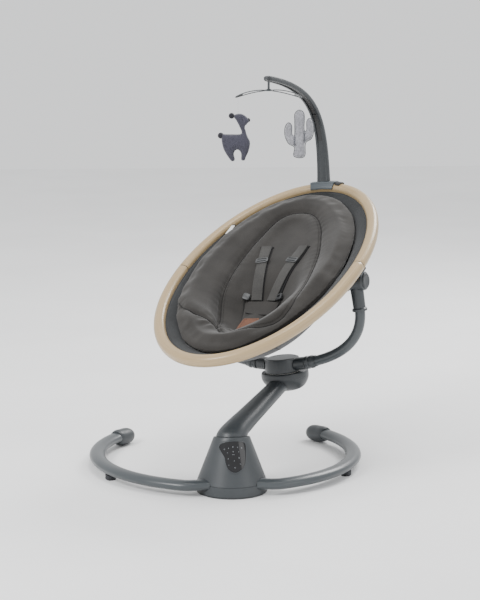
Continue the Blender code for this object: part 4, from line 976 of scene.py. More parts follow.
@dataclass
class Housing:
    """The cone that stands on the floor, with its control panel."""

    y: float = 0.02
    foot_r: float = 0.076
    band_r: float = 0.0735
    band_top: float = 0.024
    top_r: float = 0.0385
    top: float = 0.1187
    wall: float = 0.003
    tilt: float = math.radians(10.4)
    panel_half_width: float = 0.02695
    panel_height: float = 0.061
    panel_middle: float = 0.08546
    plate: float = 0.004
    bush_r: float = 0.0105
    steps: int = 112
    glyph_size: float = 0.78
    glyphs: Sequence[tuple[float, float, str]] = ((-0.0183, 0.0999, "ring"), (-0.0098, 0.1027, "bar"),
        (-0.0004, 0.1054, "ring"), (0.0091, 0.1044, "bar"), (0.0178, 0.1023, "ring"), (-0.0119, 0.0933, "dot"),
        (0.0002, 0.096, "ring"), (0.0114, 0.0952, "dot"), (0.0001, 0.0901, "line"), (-0.0107, 0.0818, "wedge"),
        (0.0121, 0.0833, "ring"), (0.0018, 0.0779, "bar"), (-0.0096, 0.0695, "dot"), (0.0146, 0.0712, "wedge"),
        (0.003, 0.0644, "ring"))

    def axis(self) -> Matrix:
        """Return the frame whose Z is the swing axis."""
        return Matrix.Rotation(-self.tilt, 4, "X")

    def ring(self, radius: float, height: float, leant: bool = False) -> list[Vector]:
        """Return a ring about the upright centre, or about the swing axis."""
        place = self.axis() if leant else Matrix.Translation((0, self.y, 0))
        angles = [math.tau * i / self.steps for i in range(self.steps)]
        return [place @ Vector((radius * math.cos(a), radius * math.sin(a), height)) for a in angles]

    def side(self, offset: float) -> list[list[Vector]]:
        """Return rings up the outside moved out by an offset, with a groove over the band."""
        middle = self.foot_r + (self.band_r - self.foot_r) / 3
        rings = [self.ring(self.foot_r + offset, self.plate + GAP), self.ring(middle + offset, self.band_top / 2)]
        for radius, height in ((0, -0.0007), (-0.0009, -0.0003), (-0.0009, 0.0003), (-0.0002, 0.0007)):
            rings.append(self.ring(self.band_r + offset + radius, self.band_top + height))
        upper = self.ring(self.top_r + offset, self.top, True)
        low = self.ring(self.band_r + offset, self.band_top)
        for share in (0.25, 0.5, 0.75, 0.985):
            rings.append([a.lerp(b, share) for a, b in zip(low, upper)])
        return rings + [self.ring(self.top_r + offset - 0.0008, self.top, True)]

    def skin(self, name: str, inside: float, outside: float) -> Solid:
        """Return a closed skin between two offsets of the cone's outside."""
        return loft(name, self.side(outside) + self.side(inside)[::-1], wrap=True)

    def outline(self, offset: float) -> list[Vector]:
        """Return the panel's outline seen from the front, moved out by an offset."""
        shape = ((0.95, 0.3), (0.98, 0.62), (0.92, 0.9), (0.52, 1.0), (0.0, 1.02), (-0.48, 0.99), (-0.9, 0.9),
            (-1.05, 0.76), (-0.88, 0.58), (-0.66, 0.4), (-0.58, 0.18), (-0.36, -0.06), (0.16, -0.16), (0.66, -0.04),
            (0.88, 0.12))
        low = self.panel_middle - self.panel_height / 2
        corners = [(u * self.panel_half_width, low + self.panel_height * (v + 0.16) / 1.18) for u, v in shape]
        return grown(smooth_loop(corners, 6), offset)

    def prism(self, outline: Sequence[Vector]) -> Solid:
        """Return a solid with an outline seen from the front, from in front of the cone to its middle."""
        return loft("Cutter", [[Vector((p.x, y, p.y)) for p in outline] for y in (-0.15, 0.0)])

    def build(self) -> None:
        """Build the housing, the panel, its bezel and its glyphs."""
        roof = self.top - self.wall
        inner = [self.ring(self.foot_r - self.wall, self.plate + GAP),
            self.ring(self.band_r - self.wall, self.band_top)]
        rings = self.side(0) + [self.ring(self.bush_r + GAP, self.top, True),
            self.ring(self.bush_r + GAP, roof, True), self.ring(self.top_r - self.wall, roof, True)] + inner[::-1]
        shell = loft("Housing_Shell", rings, wrap=True)
        cut(shell, self.prism(self.outline(GAP)))
        for side in (-1, 1):
            cut(shell, FloorFrame().tube("Cutter", side, GAP, 40))
        mouth = self.y + self.band_r + 0.0015
        back = Matrix.Translation((0, mouth, 0.018)) @ Matrix.Rotation(-math.pi / 2, 4, "X")
        cut(shell, turned("Cutter", [(0, -0.036), (0.0048, -0.036), (0.0048, 0.018), (0, 0.018)], back, 32), sharp=30)
        dress(shell, Finish.SHELL, "base", ["base_housing"])
        panel = cut(self.skin("Panel_Touch_Face", -0.0022, 0.0005), self.prism(self.outline(0)), "INTERSECT")
        dress(panel, Finish.GLOSS_BLACK, "base", ["control_panel"])
        bezel = cut(self.skin("Panel_Bezel", GAP, 0.0013), self.prism(self.outline(0.0024)), "INTERSECT")
        cut(bezel, self.prism(self.outline(GAP)))
        dress(bezel, Finish.SHELL, "base", ["control_bezel"])
        self.add_glyphs(panel)
        repaint("bottom_plate", Finish.DARK_SHELL)
        for node, finish in (("shaft_bush", Finish.ACETAL), ("geared_motor", Finish.STEEL),
                ("control_board", Finish.BOARD), ("speaker", Finish.BLACK_PLASTIC),
                ("power_inlet", Finish.BLACK_PLASTIC)):
            repaint(node, finish)
        self.add_screws()

    def add_glyphs(self, panel: Solid) -> None:
        """Print generic glyphs on the touch face.

        Args:
            panel: the face, in place.
        """
        face = BVHTree.FromObject(panel, bpy.context.evaluated_depsgraph_get())
        marks = []
        for x, z, kind in self.glyphs:
            point, normal, _, _ = face.ray_cast(Vector((x, -0.2, z)), Vector((0, 1, 0)))
            up = (Vector((0, 0, 1)) - normal * normal.z).normalized()
            place = placed(point + normal * 0.00002, up.cross(normal), up, normal)
            marks.append(self.glyph(place @ Matrix.Scale(self.glyph_size, 4), kind))
        dress(joined("Panel_Glyphs", marks), Finish.PRINT, "base")

    def glyph(self, place: Matrix, kind: str) -> Solid:
        """Return one thin mark: a ring, a dot, a bar, a line or a wedge."""
        high = 0.00008
        if kind == "ring":
            return turned("Mark", [(0.0011, 0), (0.0016, 0), (0.0016, high), (0.0011, high)], place, 20)
        if kind == "wedge":
            corners = [(0.0015, 0), (-0.0009, 0.0013), (-0.0009, -0.0013)]
        elif kind == "bar":
            corners = [(0.0004, -0.0014), (0.0004, 0.0014), (-0.0004, 0.0014), (-0.0004, -0.0014)]
        elif kind == "line":
            corners = [(0.0034, -0.0003), (0.0034, 0.0003), (-0.0034, 0.0003), (-0.0034, -0.0003)]
        else:
            corners = ellipse(0.0008, 0.0008, 12)
        return loft("Mark", [[place @ Vector((u, v, h)) for u, v in corners] for h in (0, high)])

    def add_screws(self) -> None:
        """Set four countersunk screws under the bottom plate."""
        screws = []
        for turn in (0.7, 2.4, 3.9, 5.5):
            place = Matrix.Translation((0.058 * math.cos(turn), self.y + 0.058 * math.sin(turn), 0.0001))
            screws.append(turned("Screw", [(0, 0.0006), (0.0009, 0), (0.0028, 0), (0.0031, 0.0012), (0, 0.0012)],
                place, 20))
        dress(joined("Bottom_Screws", screws), Finish.STEEL, "base")


@dataclass
class FloorFrame:
    """The open ring of tube on the floor, its shoes and its rubber feet."""

    radius: float = 0.2845
    y: float = 0.2468
    half_width: float = 0.0175
    half_height: float = 0.0113
    z: float = 0.0228
    inner_x: float = 0.04704
    bend_x: float = 0.105           # nearer the cone than this, the tube turns in to meet its side
    bend: float = 0.016
    cap_start: float = math.radians(31.5)
    cap_length: float = 0.06
    cap_half_width: float = 0.02
    cap_half_height: float = 0.019

    def point(self, angle: float, side: int) -> Vector:
        """Return a point of the ring at an angle behind its widest line."""
        return Vector((side * self.radius * math.cos(angle), self.y + self.radius * math.sin(angle), self.z))

    def tube(self, name: str, side: int, grow: float = 0.0, steps: int = 90) -> Solid:
        """Return one side's tube, thicker by grow."""
        start = -math.acos(self.inner_x / self.radius)
        path = [self.point(start + (self.cap_start - start) * i / steps, side) for i in range(steps + 1)]
        for point in path:
            if point.y < self.y and abs(point.x) < self.bend_x:
                share = (self.bend_x - abs(point.x)) / (self.bend_x - self.inner_x)
                point.y += self.bend * share * share * (3 - 2 * share)
        section = ellipse(self.half_height + grow, self.half_width + grow, 32)
        made = loft(name, sweep_rings(path, [section] * len(path), Vector((0, 0, 1))))
        return made

    def cap(self, side: int) -> Solid:
        """Return the shoe at one tube's end, fat and round-nosed, which comes down to the floor."""
        shares = (0.0, 0.02, 0.12, 0.32, 0.55, 0.78, 0.92, 0.985, 1.0)
        fullness = (0.77, 0.81, 0.92, 0.99, 1.0, 0.9, 0.68, 0.4, 0.16)
        stations = smooth_loop(list(zip(shares, fullness)), 4, closed=False)
        start, turn = self.cap_start + 0.001 / self.radius, self.cap_length / self.radius
        path, sections = [], []
        for station in stations:
            point = self.point(start + turn * min(max(station.x, 0), 1), side)
            fall = min(station.x / 0.45, 1.0)
            point.z += (self.cap_half_height - self.z) * fall * fall * (3 - 2 * fall)
            path.append(point)
            sections.append(ellipse(self.cap_half_height * station.y, self.cap_half_width * station.y, 36))
        return loft("Cap", sweep_rings(path, sections, Vector((0, 0, 1))), sharp=50)

    def build(self) -> None:
        """Build both sides."""
        for name, side in (("left", -1), ("right", 1)):
            tube = self.tube("Floor_Tube_" + name, side)
            dress(tube, Finish.TUBE, "base", ["floor_tube_" + name])
            cap = self.cap(side)
            cap.name = "End_Shoe_" + name
            dress(cap, Finish.SHELL, "base", ["end_cap_" + name])
            repaint("rubber_foot_" + name, Finish.RUBBER)


@dataclass
class SwingArm:
    """The arm from the housing's roof to the cup under the hub, with the cup."""

    roof: float = 0.1187
    tilt: float = math.radians(10.4)
    foot_r: float = 0.0335
    elbow: Point = (0.0275, 0.0195)
    end: Point = (0.0208, 0.017)
    end_drop: float = 0.02
    reach: float = 0.2717
    cup_top: float = 0.2019
    cup_r: float = 0.0525
    cup_depth: float = 0.0465
    set_back: float = 0.0085
    upper: Sequence[Point] = ((-0.027, 0.0145), (-0.0118, 0.0232), (0.0122, 0.0301), (0.0432, 0.037),
        (0.0762, 0.0434))
    lower: Sequence[Point] = ((0.0362, -0.0052), (0.0402, -0.0057), (0.0474, -0.0051), (0.0624, -0.0008),
        (0.086, 0.0056))

    def arm_rings(self, steps: int = 56) -> list[list[Vector]]:
        """Return rings up the arm, round its elbow and along its climb."""
        axis = Matrix.Rotation(-self.tilt, 4, "X")
        roof = axis @ Vector((0, 0, self.roof + 0.0008))
        half = axis.to_3x3() @ Vector((0, self.foot_r, 0))
        edges = [(roof - half, roof + half)]
        edges += [(roof + Vector((0, *high)), roof + Vector((0, *low))) for high, low in zip(self.upper, self.lower)]
        bend_end = (edges[-1][0] + edges[-1][1]) / 2
        hub_end = Vector((0, self.reach, self.cup_top - self.end_drop))
        square = Vector((1, 0, 0)).cross((hub_end - bend_end).normalized())
        bends = len(self.upper)
        widths = [self.foot_r + (self.elbow[0] - self.foot_r) * i / bends for i in range(bends + 1)]
        for share in (0.35, 0.7, 1.0):
            widths.append(self.elbow[0] + (self.end[0] - self.elbow[0]) * share)
            thick = square * (self.elbow[1] + (self.end[1] - self.elbow[1]) * share)
            middle = bend_end.lerp(hub_end, share)
            edges.append((middle + thick, middle - thick))
        stations = smooth_loop([(high.y, high.z, low.y, w) for (high, low), w in zip(edges, widths)], 6, closed=False)
        lows = smooth_loop([(low.z, 0.0) for _, low in edges], 6, closed=False)
        rings = []
        for station, low_z in zip(stations, lows):
            high, low = Vector((0, station[0], station[1])), Vector((0, station[2], low_z.x))
            middle, spread = (high + low) / 2, (high - low) / 2
            rings.append([middle + Vector((station[3] * u, 0, 0)) + spread * v for u, v in ellipse(1, 1, steps)])
        return rings

    def cup_rings(self, grow: float = 0.0) -> list[list[Vector]]:
        """Return rings down the cup, which bulges backwards as it goes down."""
        levels = ((0.965, 0.0, 0.0), (0.985, 0.03, 0.0), (1.0, 0.09, 0.0), (1.0, 0.28, 0.0), (0.935, 0.5, 0.0015),
            (0.76, 0.76, 0.005), (0.5, 0.93, 0.01), (0.2, 1.0, 0.012))
        rings = []
        for radius, drop, back in smooth_loop(levels, 3, closed=False):
            drop = min(max(drop, 0.0), 1.0)
            centre = Vector((0, self.reach + self.set_back + back, self.cup_top + grow * (1 - 2 * drop)
                - self.cup_depth * drop))
            size = self.cup_r * radius + grow
            rings.append([centre + Vector((u, v, 0)) for u, v in ellipse(size, size, 80)])
        return rings

    def build(self, frames: Frames) -> None:
        """Build the arm and the cup.

        Args:
            frames: the sub-assemblies' frames.
        """
        swing = frames.swing
        arm = loft("Swing_Arm", self.arm_rings(), sharp=40)
        cut(arm, loft("Cutter", self.cup_rings(GAP)))
        axis = Matrix.Rotation(-self.tilt, 4, "X")
        bore = [(0, 0.1), (0.0063, 0.1), (0.0063, 0.1353), (0, 0.1353)]
        cut(arm, turned("Cutter", bore, axis, 32), sharp=40)
        arm.data.transform(swing)
        dress(arm, Finish.SHELL, "swing_arm", ["swing_arm"])
        cup = loft("Hub_Cup", self.cup_rings(), sharp=40)
        hub = Matrix.Translation((0, self.reach, 0))
        well = [(0, 0.1709), (0.0063, 0.1709), (0.0063, 0.1989), (0.012, 0.1989), (0.012, 0.1849), (0.0383, 0.1849),
            (0.0383, 0.2119), (0, 0.2119)]
        cut(cup, turned("Cutter", well, hub, 64), sharp=40)
        self.part(cup, -0.0128)
        cup.data.transform(swing)
        dress(cup, Finish.DARK_SHELL, "swing_arm", ["hub_cup"])
        for node, finish in (("swing_shaft", Finish.STEEL), ("turntable_spindle", Finish.STEEL),
                ("turntable_bearing", Finish.ACETAL)):
            repaint(node, finish)

    def part(self, cup: Solid, drop: float) -> None:
        """Cut a fine parting line round the cup, at a drop under its rim."""
        centre = Vector((0, self.reach + self.set_back, self.cup_top + drop))
        rings = []
        for size, height in ((self.cup_r - 0.0006, -0.0004), (self.cup_r + 0.004, -0.0004),
                (self.cup_r + 0.004, 0.0004), (self.cup_r - 0.0006, 0.0004)):
            rings.append([centre + Vector((u, v, height)) for u, v in ellipse(size, size, 80)])
        cut(cup, loft("Cutter", rings, wrap=True), sharp=40)


@dataclass
class Hub:
    """The drum that turns on the cup, its lid, the fork's tubes, collars, sleeves and pivots."""

    cup_top: float = 0.2019
    drum_r: float = 0.0385
    drum_height: float = 0.0297
    drum_wall: float = 0.004
    tube_r: float = 0.0113
    socket_wall: float = 0.0025
    root_x: float = 0.042
    root_z: float = 0.2196
    slope: float = 0.09
    half_span: float = 0.2028
    top_x: float = 0.1998
    straight_z: float = 0.3359
    pivot_z: float = 0.4014
    socket_end: float = 0.06
    collar_length: float = 0.026
    sleeve_r: float = 0.0145
    pivot_r: float = 0.0205
    pivot_inner: float = 0.1848
    pivot_length: float = 0.0375
    button_r: float = 0.0168
    button_length: float = 0.0105
    pin_r: float = 0.0058

    def bend(self, side: int, steps: int) -> list[Vector]:
        """Return the fork's bend from the drum out and up."""
        root = Vector((side * self.root_x, 0, self.root_z))
        out_x = self.half_span * 0.635
        out = Vector((side * out_x, 0, self.root_z + self.slope * (out_x - self.root_x)))
        below = Vector((side * self.half_span, 0, self.straight_z - 0.645 * (self.straight_z - self.root_z)))
        return bezier((root, out, below, Vector((side * self.half_span, 0, self.straight_z))), steps)

    def post(self, side: int, share: float) -> Vector:
        """Return a point of the post from the bend's end up into the pivot."""
        start = Vector((side * self.half_span, 0, self.straight_z))
        return start.lerp(Vector((side * self.top_x, 0, self.pivot_z - 0.006)), share)

    def tube(self, name: str, side: int, grow: float = 0.0, steps: int = 70) -> Solid:
        """Return one fork tube, thicker by grow."""
        path = self.bend(side, steps) + [self.post(side, 0.12), self.post(side, 0.4)]
        if grow:
            path[0] = path[0] - Vector((side * GAP, 0, 0))
        section = ellipse(self.tube_r + grow, self.tube_r + grow, 28)
        return loft(name, sweep_rings(path, [section] * len(path), Vector((0, 1, 0))))

    def sleeve(self, name: str, path: Sequence[Vector], radii: Sequence[float]) -> Solid:
        """Return a sleeve round the fork's tube with an outer radius at each point."""
        bore = [ellipse(self.tube_r + 2 * GAP, self.tube_r + 2 * GAP, 40)] * len(path)
        side = Vector((0, 1, 0))
        outer = sweep_rings(path, [ellipse(r, r, 40) for r in radii], side)
        return loft(name, outer + sweep_rings(path, bore, side)[::-1], wrap=True, sharp=40)

    def build(self, frames: Frames) -> None:
        """Build everything that turns with the hub.

        Args:
            frames: the sub-assemblies' frames.
        """
        low = self.cup_top + 0.0008
        top, seat_r = low + self.drum_height, self.drum_r - self.drum_wall
        ledge = top - 0.003
        made = [(self.drum(low, top, seat_r, ledge), Finish.DARK_SHELL, "turntable", ["hub_drum"]),
            (turned("Hub_Lid", [(0, ledge + GAP), (seat_r - GAP, ledge + GAP), (seat_r - GAP, top + 0.0004),
            (seat_r - 0.001, top + 0.0013), (seat_r - 0.0026, top + 0.0016), (seat_r - 0.0034, top + 0.001),
            (seat_r * 0.5, top + 0.0014), (0, top + 0.0016)], Matrix(), 96, 25), Finish.SHELL, "turntable",
            ["hub_lid"])]
        for name, side in (("left", -1), ("right", 1)):
            made.append((self.tube("Fork_Tube_" + name, side), Finish.TUBE, "turntable", ["fork_tube_" + name]))
            made.append((self.collar(name, side), Finish.SHELL, "turntable", ["fork_collar_" + name]))
            made += self.pivot(name, side)
        for piece, finish, body, nodes in made:
            piece.data.transform(frames.turn)
            dress(piece, finish, body, nodes)

    def drum(self, low: float, top: float, seat_r: float, ledge: float) -> Solid:
        """Return the drum with its two sockets.

        Args:
            low: its underside.
            top: its rim.
            seat_r: the lid's seat.
            ledge: the height that the lid rests at.

        Returns:
            The drum, in the turntable's frame.
        """
        profile = [(0.0068, low), (self.drum_r - 0.001, low), (self.drum_r, low + 0.001), (self.drum_r, top - 0.0012),
            (self.drum_r - 0.0004, top - 0.0004), (self.drum_r - 0.0012, top), (seat_r, top), (seat_r, ledge),
            (seat_r - 0.002, ledge), (seat_r - 0.002, low + self.drum_wall), (0.0068, low + self.drum_wall)]
        drum = turned("Hub_Drum", profile, Matrix(), 96)
        reach = self.tube_r + self.socket_wall
        for side in (-1, 1):
            stations = ((seat_r + 0.0015, 0.0042, 0), (self.drum_r + 0.0085, 0.0022, 0),
                (self.socket_end - 0.0012, 0.0003, 0), (self.socket_end, 0, -0.001))
            rings = []
            for x, spread, shrink in stations:
                z = self.root_z + self.slope * (x - self.root_x)
                rings.append([Vector((side * x, u, z + v)) for u, v in ellipse(reach + spread + shrink,
                    reach + shrink, 40, 2.4)])
            cut(drum, loft("Cutter", rings), "UNION")
            cut(drum, self.tube("Cutter", side, GAP, 40))
        return drum

    def collar(self, name: str, side: int) -> Solid:
        """Return the clip collar beside the socket, with its teeth."""
        way = [p for p in self.bend(side, 160) if self.socket_end + GAP < abs(p.x) < self.socket_end + GAP
            + self.collar_length]
        path = [way[round(share * (len(way) - 1))] for share in (0, 0.03, 0.28, 0.31, 0.45, 0.48, 0.7, 0.73, 0.97, 1)]
        r = self.sleeve_r
        radii = [r - 0.0008, r, r, r - 0.0016, r - 0.0016, r, r - 0.0002, r - 0.0016, r - 0.0022, r - 0.0028]
        return self.sleeve("Fork_Collar_" + name, path, radii)

    def pivot(self, name: str, side: int) -> list[tuple]:
        """Return one side's sleeve, pivot housing and recline button, with their finishes and nodes."""
        shares = (0, 0.02, 0.085, 0.1, 0.12, 0.5, 1.0)
        r = self.sleeve_r
        path = [self.post(side, share) for share in shares]
        sleeve = self.sleeve("Fork_Sleeve_" + name, path, [r + 0.0013, r + 0.002, r + 0.002, r + 0.0008, r - 0.001,
            r - 0.0005, r])
        across = Matrix.Translation((0, 0, self.pivot_z)) @ Matrix.Rotation(side * math.pi / 2, 4, "Y")
        inner, outer = self.pivot_inner, self.pivot_inner + self.pivot_length
        room = [(0, inner - GAP), (self.pivot_r + GAP, inner - GAP), (self.pivot_r + GAP, outer + GAP),
            (0, outer + GAP)]
        cut(sleeve, turned("Cutter", room, across, 64))
        well = outer - self.button_length
        pr, br = self.pivot_r, self.button_r
        profile = [(self.pin_r + GAP, inner), (pr - 0.001, inner), (pr, inner + 0.001), (pr, outer - 0.0028),
            (pr - 0.0004, outer - 0.0012), (pr - 0.0016, outer), (br + GAP, outer), (br + GAP, well),
            (self.pin_r + GAP, well)]
        housing = turned("Pivot_Housing_" + name, profile, across, 72, 40)
        back = well + 0.0033
        face = back + self.button_length
        button = turned("Recline_Button_" + name, [(0, back), (br, back), (br, face - 0.0018),
            (br - 0.0008, face - 0.0006), (br - 0.0022, face), (br - 0.006, face - 0.0004), (0, face - 0.0012)],
            across, 64, 40)
        return [(sleeve, Finish.SHELL, "turntable", ["fork_sleeve_" + name]),
            (housing, Finish.SHELL, "turntable", ["pivot_housing_" + name]),
            (button, Finish.DARK_SHELL, "recline_button_" + name, ["recline_button_" + name])]


@dataclass
class SeatRing:
    """The pale oval ring in two halves, and the brackets under it."""

    half_width: float = 0.2176
    half_length: float = 0.3373
    y: float = -0.009
    z: float = 0.0386
    section_r: float = 0.0128
    power: float = 2.3

    def point(self, angle: float) -> Vector:
        """Return a point of the ring's centre line."""
        return Vector((self.half_width * math.cos(angle), self.y + self.half_length * math.sin(angle), self.z))

    def half(self, name: str, start: float, end: float, steps: int = 120) -> Solid:
        """Return one half, with eased ends at its seams and the grain's coordinates along it."""
        turns = [start + (end - start) * i / steps for i in range(steps + 1)]
        turns = [start, start + 0.0025] + turns[1:-1] + [end - 0.0025, end]
        path = [self.point(turn) for turn in turns]
        sizes = [0.93] + [1.0] * (len(path) - 2) + [0.93]
        sections = [ellipse(self.section_r * size, self.section_r * size, 32, self.power) for size in sizes]
        made = loft(name, sweep_rings(path, sections, Vector((0, 0, 1))), sharp=50)
        along = np.cumsum([0.0] + [(b - a).length for a, b in zip(path, path[1:])])
        ring_uv(made, list(along), [math.tau * self.section_r * i / 32 for i in range(32)])
        return made

    def build(self, frames: Frames) -> None:
        """Build both halves and dress the brackets.

        Args:
            frames: the sub-assemblies' frames.
        """
        meet = math.asin(-self.y / self.half_length)
        gap = 3 * GAP / self.half_length
        gaskets = []
        for turn in (meet, math.pi - meet):
            ahead = (self.point(turn + 0.001) - self.point(turn - 0.001)).normalized()
            place = placed(self.point(turn), Vector((0, 0, 1)).cross(ahead), Vector((0, 0, 1)), ahead)
            reach, deep = self.section_r * 0.965, 2 * GAP
            gaskets.append(turned("Gasket", [(0, -deep), (reach, -deep), (reach, deep), (0, deep)],
                frames.seat @ place, 32))
        dress(joined("Seat_Ring_Gaskets", gaskets), Finish.BLACK_PLASTIC, "seat")
        for name, node, start, end in (("Seat_Ring_Head", "seat_ring_head", meet + gap, math.pi - meet - gap),
                ("Seat_Ring_Foot", "seat_ring_foot", math.pi - meet + gap, math.tau + meet - gap)):
            half = self.half(name, start, end)
            half.data.transform(frames.seat)
            dress(half, Finish.RING, "seat", [node])
        for side in ("left", "right"):
            repaint("pivot_bracket_" + side, Finish.SHELL)


Level = tuple[float, float, float, float]


@dataclass
class SoftSeat:
    """The fabric bowl inside the ring and the padded insert that lies in it."""

    ring: SeatRing = field(default_factory=SeatRing)
    wall: float = 0.0013
    # Depth under the ring's plane, half width, half length and the middle's place.
    bowl: Sequence[Level] = ((0.0125, 0.1783, 0.298, -0.009), (0.02, 0.1755, 0.294, -0.0085),
        (0.05, 0.156, 0.268, -0.012), (0.08, 0.133, 0.225, -0.016), (0.108, 0.101, 0.168, -0.022),
        (0.126, 0.062, 0.1, -0.028), (0.134, 0.022, 0.036, -0.028))
    hollow: Sequence[Level] = ((-0.012, 0.164, 0.286, -0.009), (-0.006, 0.136, 0.252, -0.012),
        (0.003, 0.118, 0.1985, -0.0335), (0.01, 0.105, 0.164, -0.054), (0.02, 0.095, 0.119, -0.089),
        (0.035, 0.08, 0.09, -0.11), (0.05, 0.06, 0.07, -0.12), (0.058, 0.04, 0.055, -0.125),
        (0.061, 0.012, 0.02, -0.125))
    edge: Sequence[Level] = ((-0.009, 0.1745, 0.2965, -0.009), (-0.003, 0.178, 0.3, -0.009),
        (0.003, 0.1775, 0.2995, -0.009))
    egg: Sequence[Point] = ((-0.045, -0.197), (-0.074, -0.13), (-0.091, -0.07), (-0.095, 0.009), (-0.09, 0.068),
        (-0.077, 0.136), (-0.06, 0.185), (-0.032, 0.211), (0.004, 0.2145), (0.037, 0.194), (0.064, 0.152),
        (0.08, 0.11), (0.096, 0.06), (0.112, -0.018), (0.125, -0.1), (0.128, -0.165), (0.108, -0.218),
        (0.062, -0.242), (0.0045, -0.244))
    foot_seam: Sequence[Point] = ((-0.156, -0.145), (-0.135, -0.166), (-0.105, -0.182), (-0.0745, -0.1906),
        (-0.045, -0.197))

    def ring_at(self, level: Sequence[float], steps: int, shrink: float = 0.0, lift: float = 0.0) -> list[Vector]:
        """Return a ring at a level of the bowl or the hollow."""
        depth, width, length, middle = level
        return [Vector((u, middle + v, self.ring.z - depth + lift)) for u,
            v in ellipse(width - shrink, length - shrink, steps)]

    def bowl_rings(self, shrink: float, lift: float, steps: int = 128) -> list[list[Vector]]:
        """Return rings down the bowl, with the soft folds that a stretched cloth has under its rim."""
        inset = self.ring.section_r + 0.0012
        rim = (0.002, self.ring.half_width - inset, self.ring.half_length - inset, self.ring.y)
        levels = smooth_loop([rim, *self.bowl], 4, closed=False)
        rings = []
        for level in levels:
            ring = self.ring_at(level, steps, shrink, lift)
            fold = 0.0016 * math.sin(min(level[0] / 0.1, 1.0) * math.pi)
            for i, point in enumerate(ring):
                turn = math.tau * i / steps
                wave = math.sin(turn * 11 + 1.3 * math.sin(turn * 3)) * 0.6 + math.sin(turn * 17 + 0.7) * 0.4
                ring[i] = point + Vector((math.cos(turn), math.sin(turn), 0)) * fold * wave
            rings.append(ring)
        return rings

    def build_bowl(self, frames: Frames) -> None:
        """Build the fabric bowl and the hem round its rim.

        Args:
            frames: the sub-assemblies' frames.
        """
        rings = self.bowl_rings(0, 0)[::-1] + self.bowl_rings(self.wall, self.wall)
        bowl = loft("Bowl_Fabric", rings, sharp=180)
        bowl.data.transform(frames.seat)
        dress(bowl, Finish.BOWL, "seat", ["seat_bowl"])
        rim = [frames.seat @ p for p in self.bowl_rings(0, 0)[0]]
        hem = lay("Bowl_Hem", [(rim, True)], Follow.CORD, 0.0022, 0.004, Finish.BOWL)
        dress(hem, Finish.BOWL, "seat")
        seams = []
        for turn in (0.3, 0.7, 1.3, 1.7):
            line = [ring[round(turn * 64) % 128] for ring in self.bowl_rings(-0.0006, 0.0)[3:-4]]
            seams.append(([frames.seat @ p for p in line], False))
        dress(lay("Bowl_Seam_Stitches", seams, Follow.STITCH, 0.0006, 0.0065, Finish.STRAP, 0.0022), Finish.STRAP,
            "seat")

    def insert_blank(self, steps: int = 96) -> Solid:
        """Return the insert's slightly slim blank, in the seat's frame."""
        shrink = 0.0035 + 0.003
        under = [self.ring_at(level, steps, shrink, shrink) for level in smooth_loop(self.bowl[1:], 3, closed=False)]
        over = smooth_loop([*self.edge[::-1], *self.hollow], 3, closed=False)
        top = [self.ring_at(level, steps, 0.0012, -0.0012) for level in over]
        return loft("Insert_Pad", under[::-1] + top, sharp=180)

    def room_to_swell(self, rows: np.ndarray, outward: np.ndarray) -> np.ndarray:
        """Return each point's share of the swelling: most on the upper face near the rim, none underneath."""
        reach = np.hypot(rows[:, 0] / 0.178, (rows[:, 1] + 0.009) / 0.3)
        upper = np.clip((outward[:, 2] + 0.1) * 3, 0, 1)
        return np.clip(0.15 + upper * (0.35 + 0.65 * np.clip((reach - 0.55) / 0.35, 0, 1)), 0,
            1) * (rows[:, 2] > self.ring.z - 0.1)

    def build_insert(self, frames: Frames) -> Solid:
        """Build the padded insert with its egg-shaped panel, its foot seam, a dark cord of painted shade in their
        grooves, and their stitches.

        Args:
            frames: the sub-assemblies' frames.

        Returns:
            The insert, still in the seat's own frame, for the harness to lie on.
        """
        pad = self.insert_blank()
        stuff(pad, 4.5 * MM, 4.0, 7 * MM, self.room_to_swell)
        rows = relax(coordinates(pad), edges_of(pad), 3)
        set_coordinates(pad, rows)
        subdivide(pad)
        set_coordinates(pad, self.sewn(coordinates(pad), normals(pad)))
        set_coordinates(pad, relax(coordinates(pad), edges_of(pad), 1, 0.3))
        surface = Surface(pad)
        lines = [(surface.along(self.seam(self.egg, True), 0.0004), True),
            (surface.along(self.seam(self.foot_seam, False), 0.0004), False)]
        # The dark cord laid in the egg seam's and the foot seam's grooves is painted shade of the grooves.
        thread = lay("Insert_Seam_Groove_Painted_Shade", lines, Follow.CORD, 0.0011, 0.003, Finish.KNIT_THREAD_AND_SHADE)
        beside = [(surface.along(grown(self.seam(self.egg, True), 0.0055), 0.0003), True)]
        stitches = lay("Insert_Top_Stitches", beside, Follow.STITCH, 0.0005, 0.0052, Finish.KNIT_THREAD_AND_SHADE, 0.0017)
        for piece in (thread, stitches):
            piece.data.transform(frames.seat)
            dress(piece, Finish.KNIT_THREAD_AND_SHADE, "seat")
        return pad

    def seam(self, corners: Sequence[Point], closed: bool) -> list[Vector]:
        """Return a seam's smooth line, seen square to the seat."""
        return smooth_loop(corners, 14, closed)

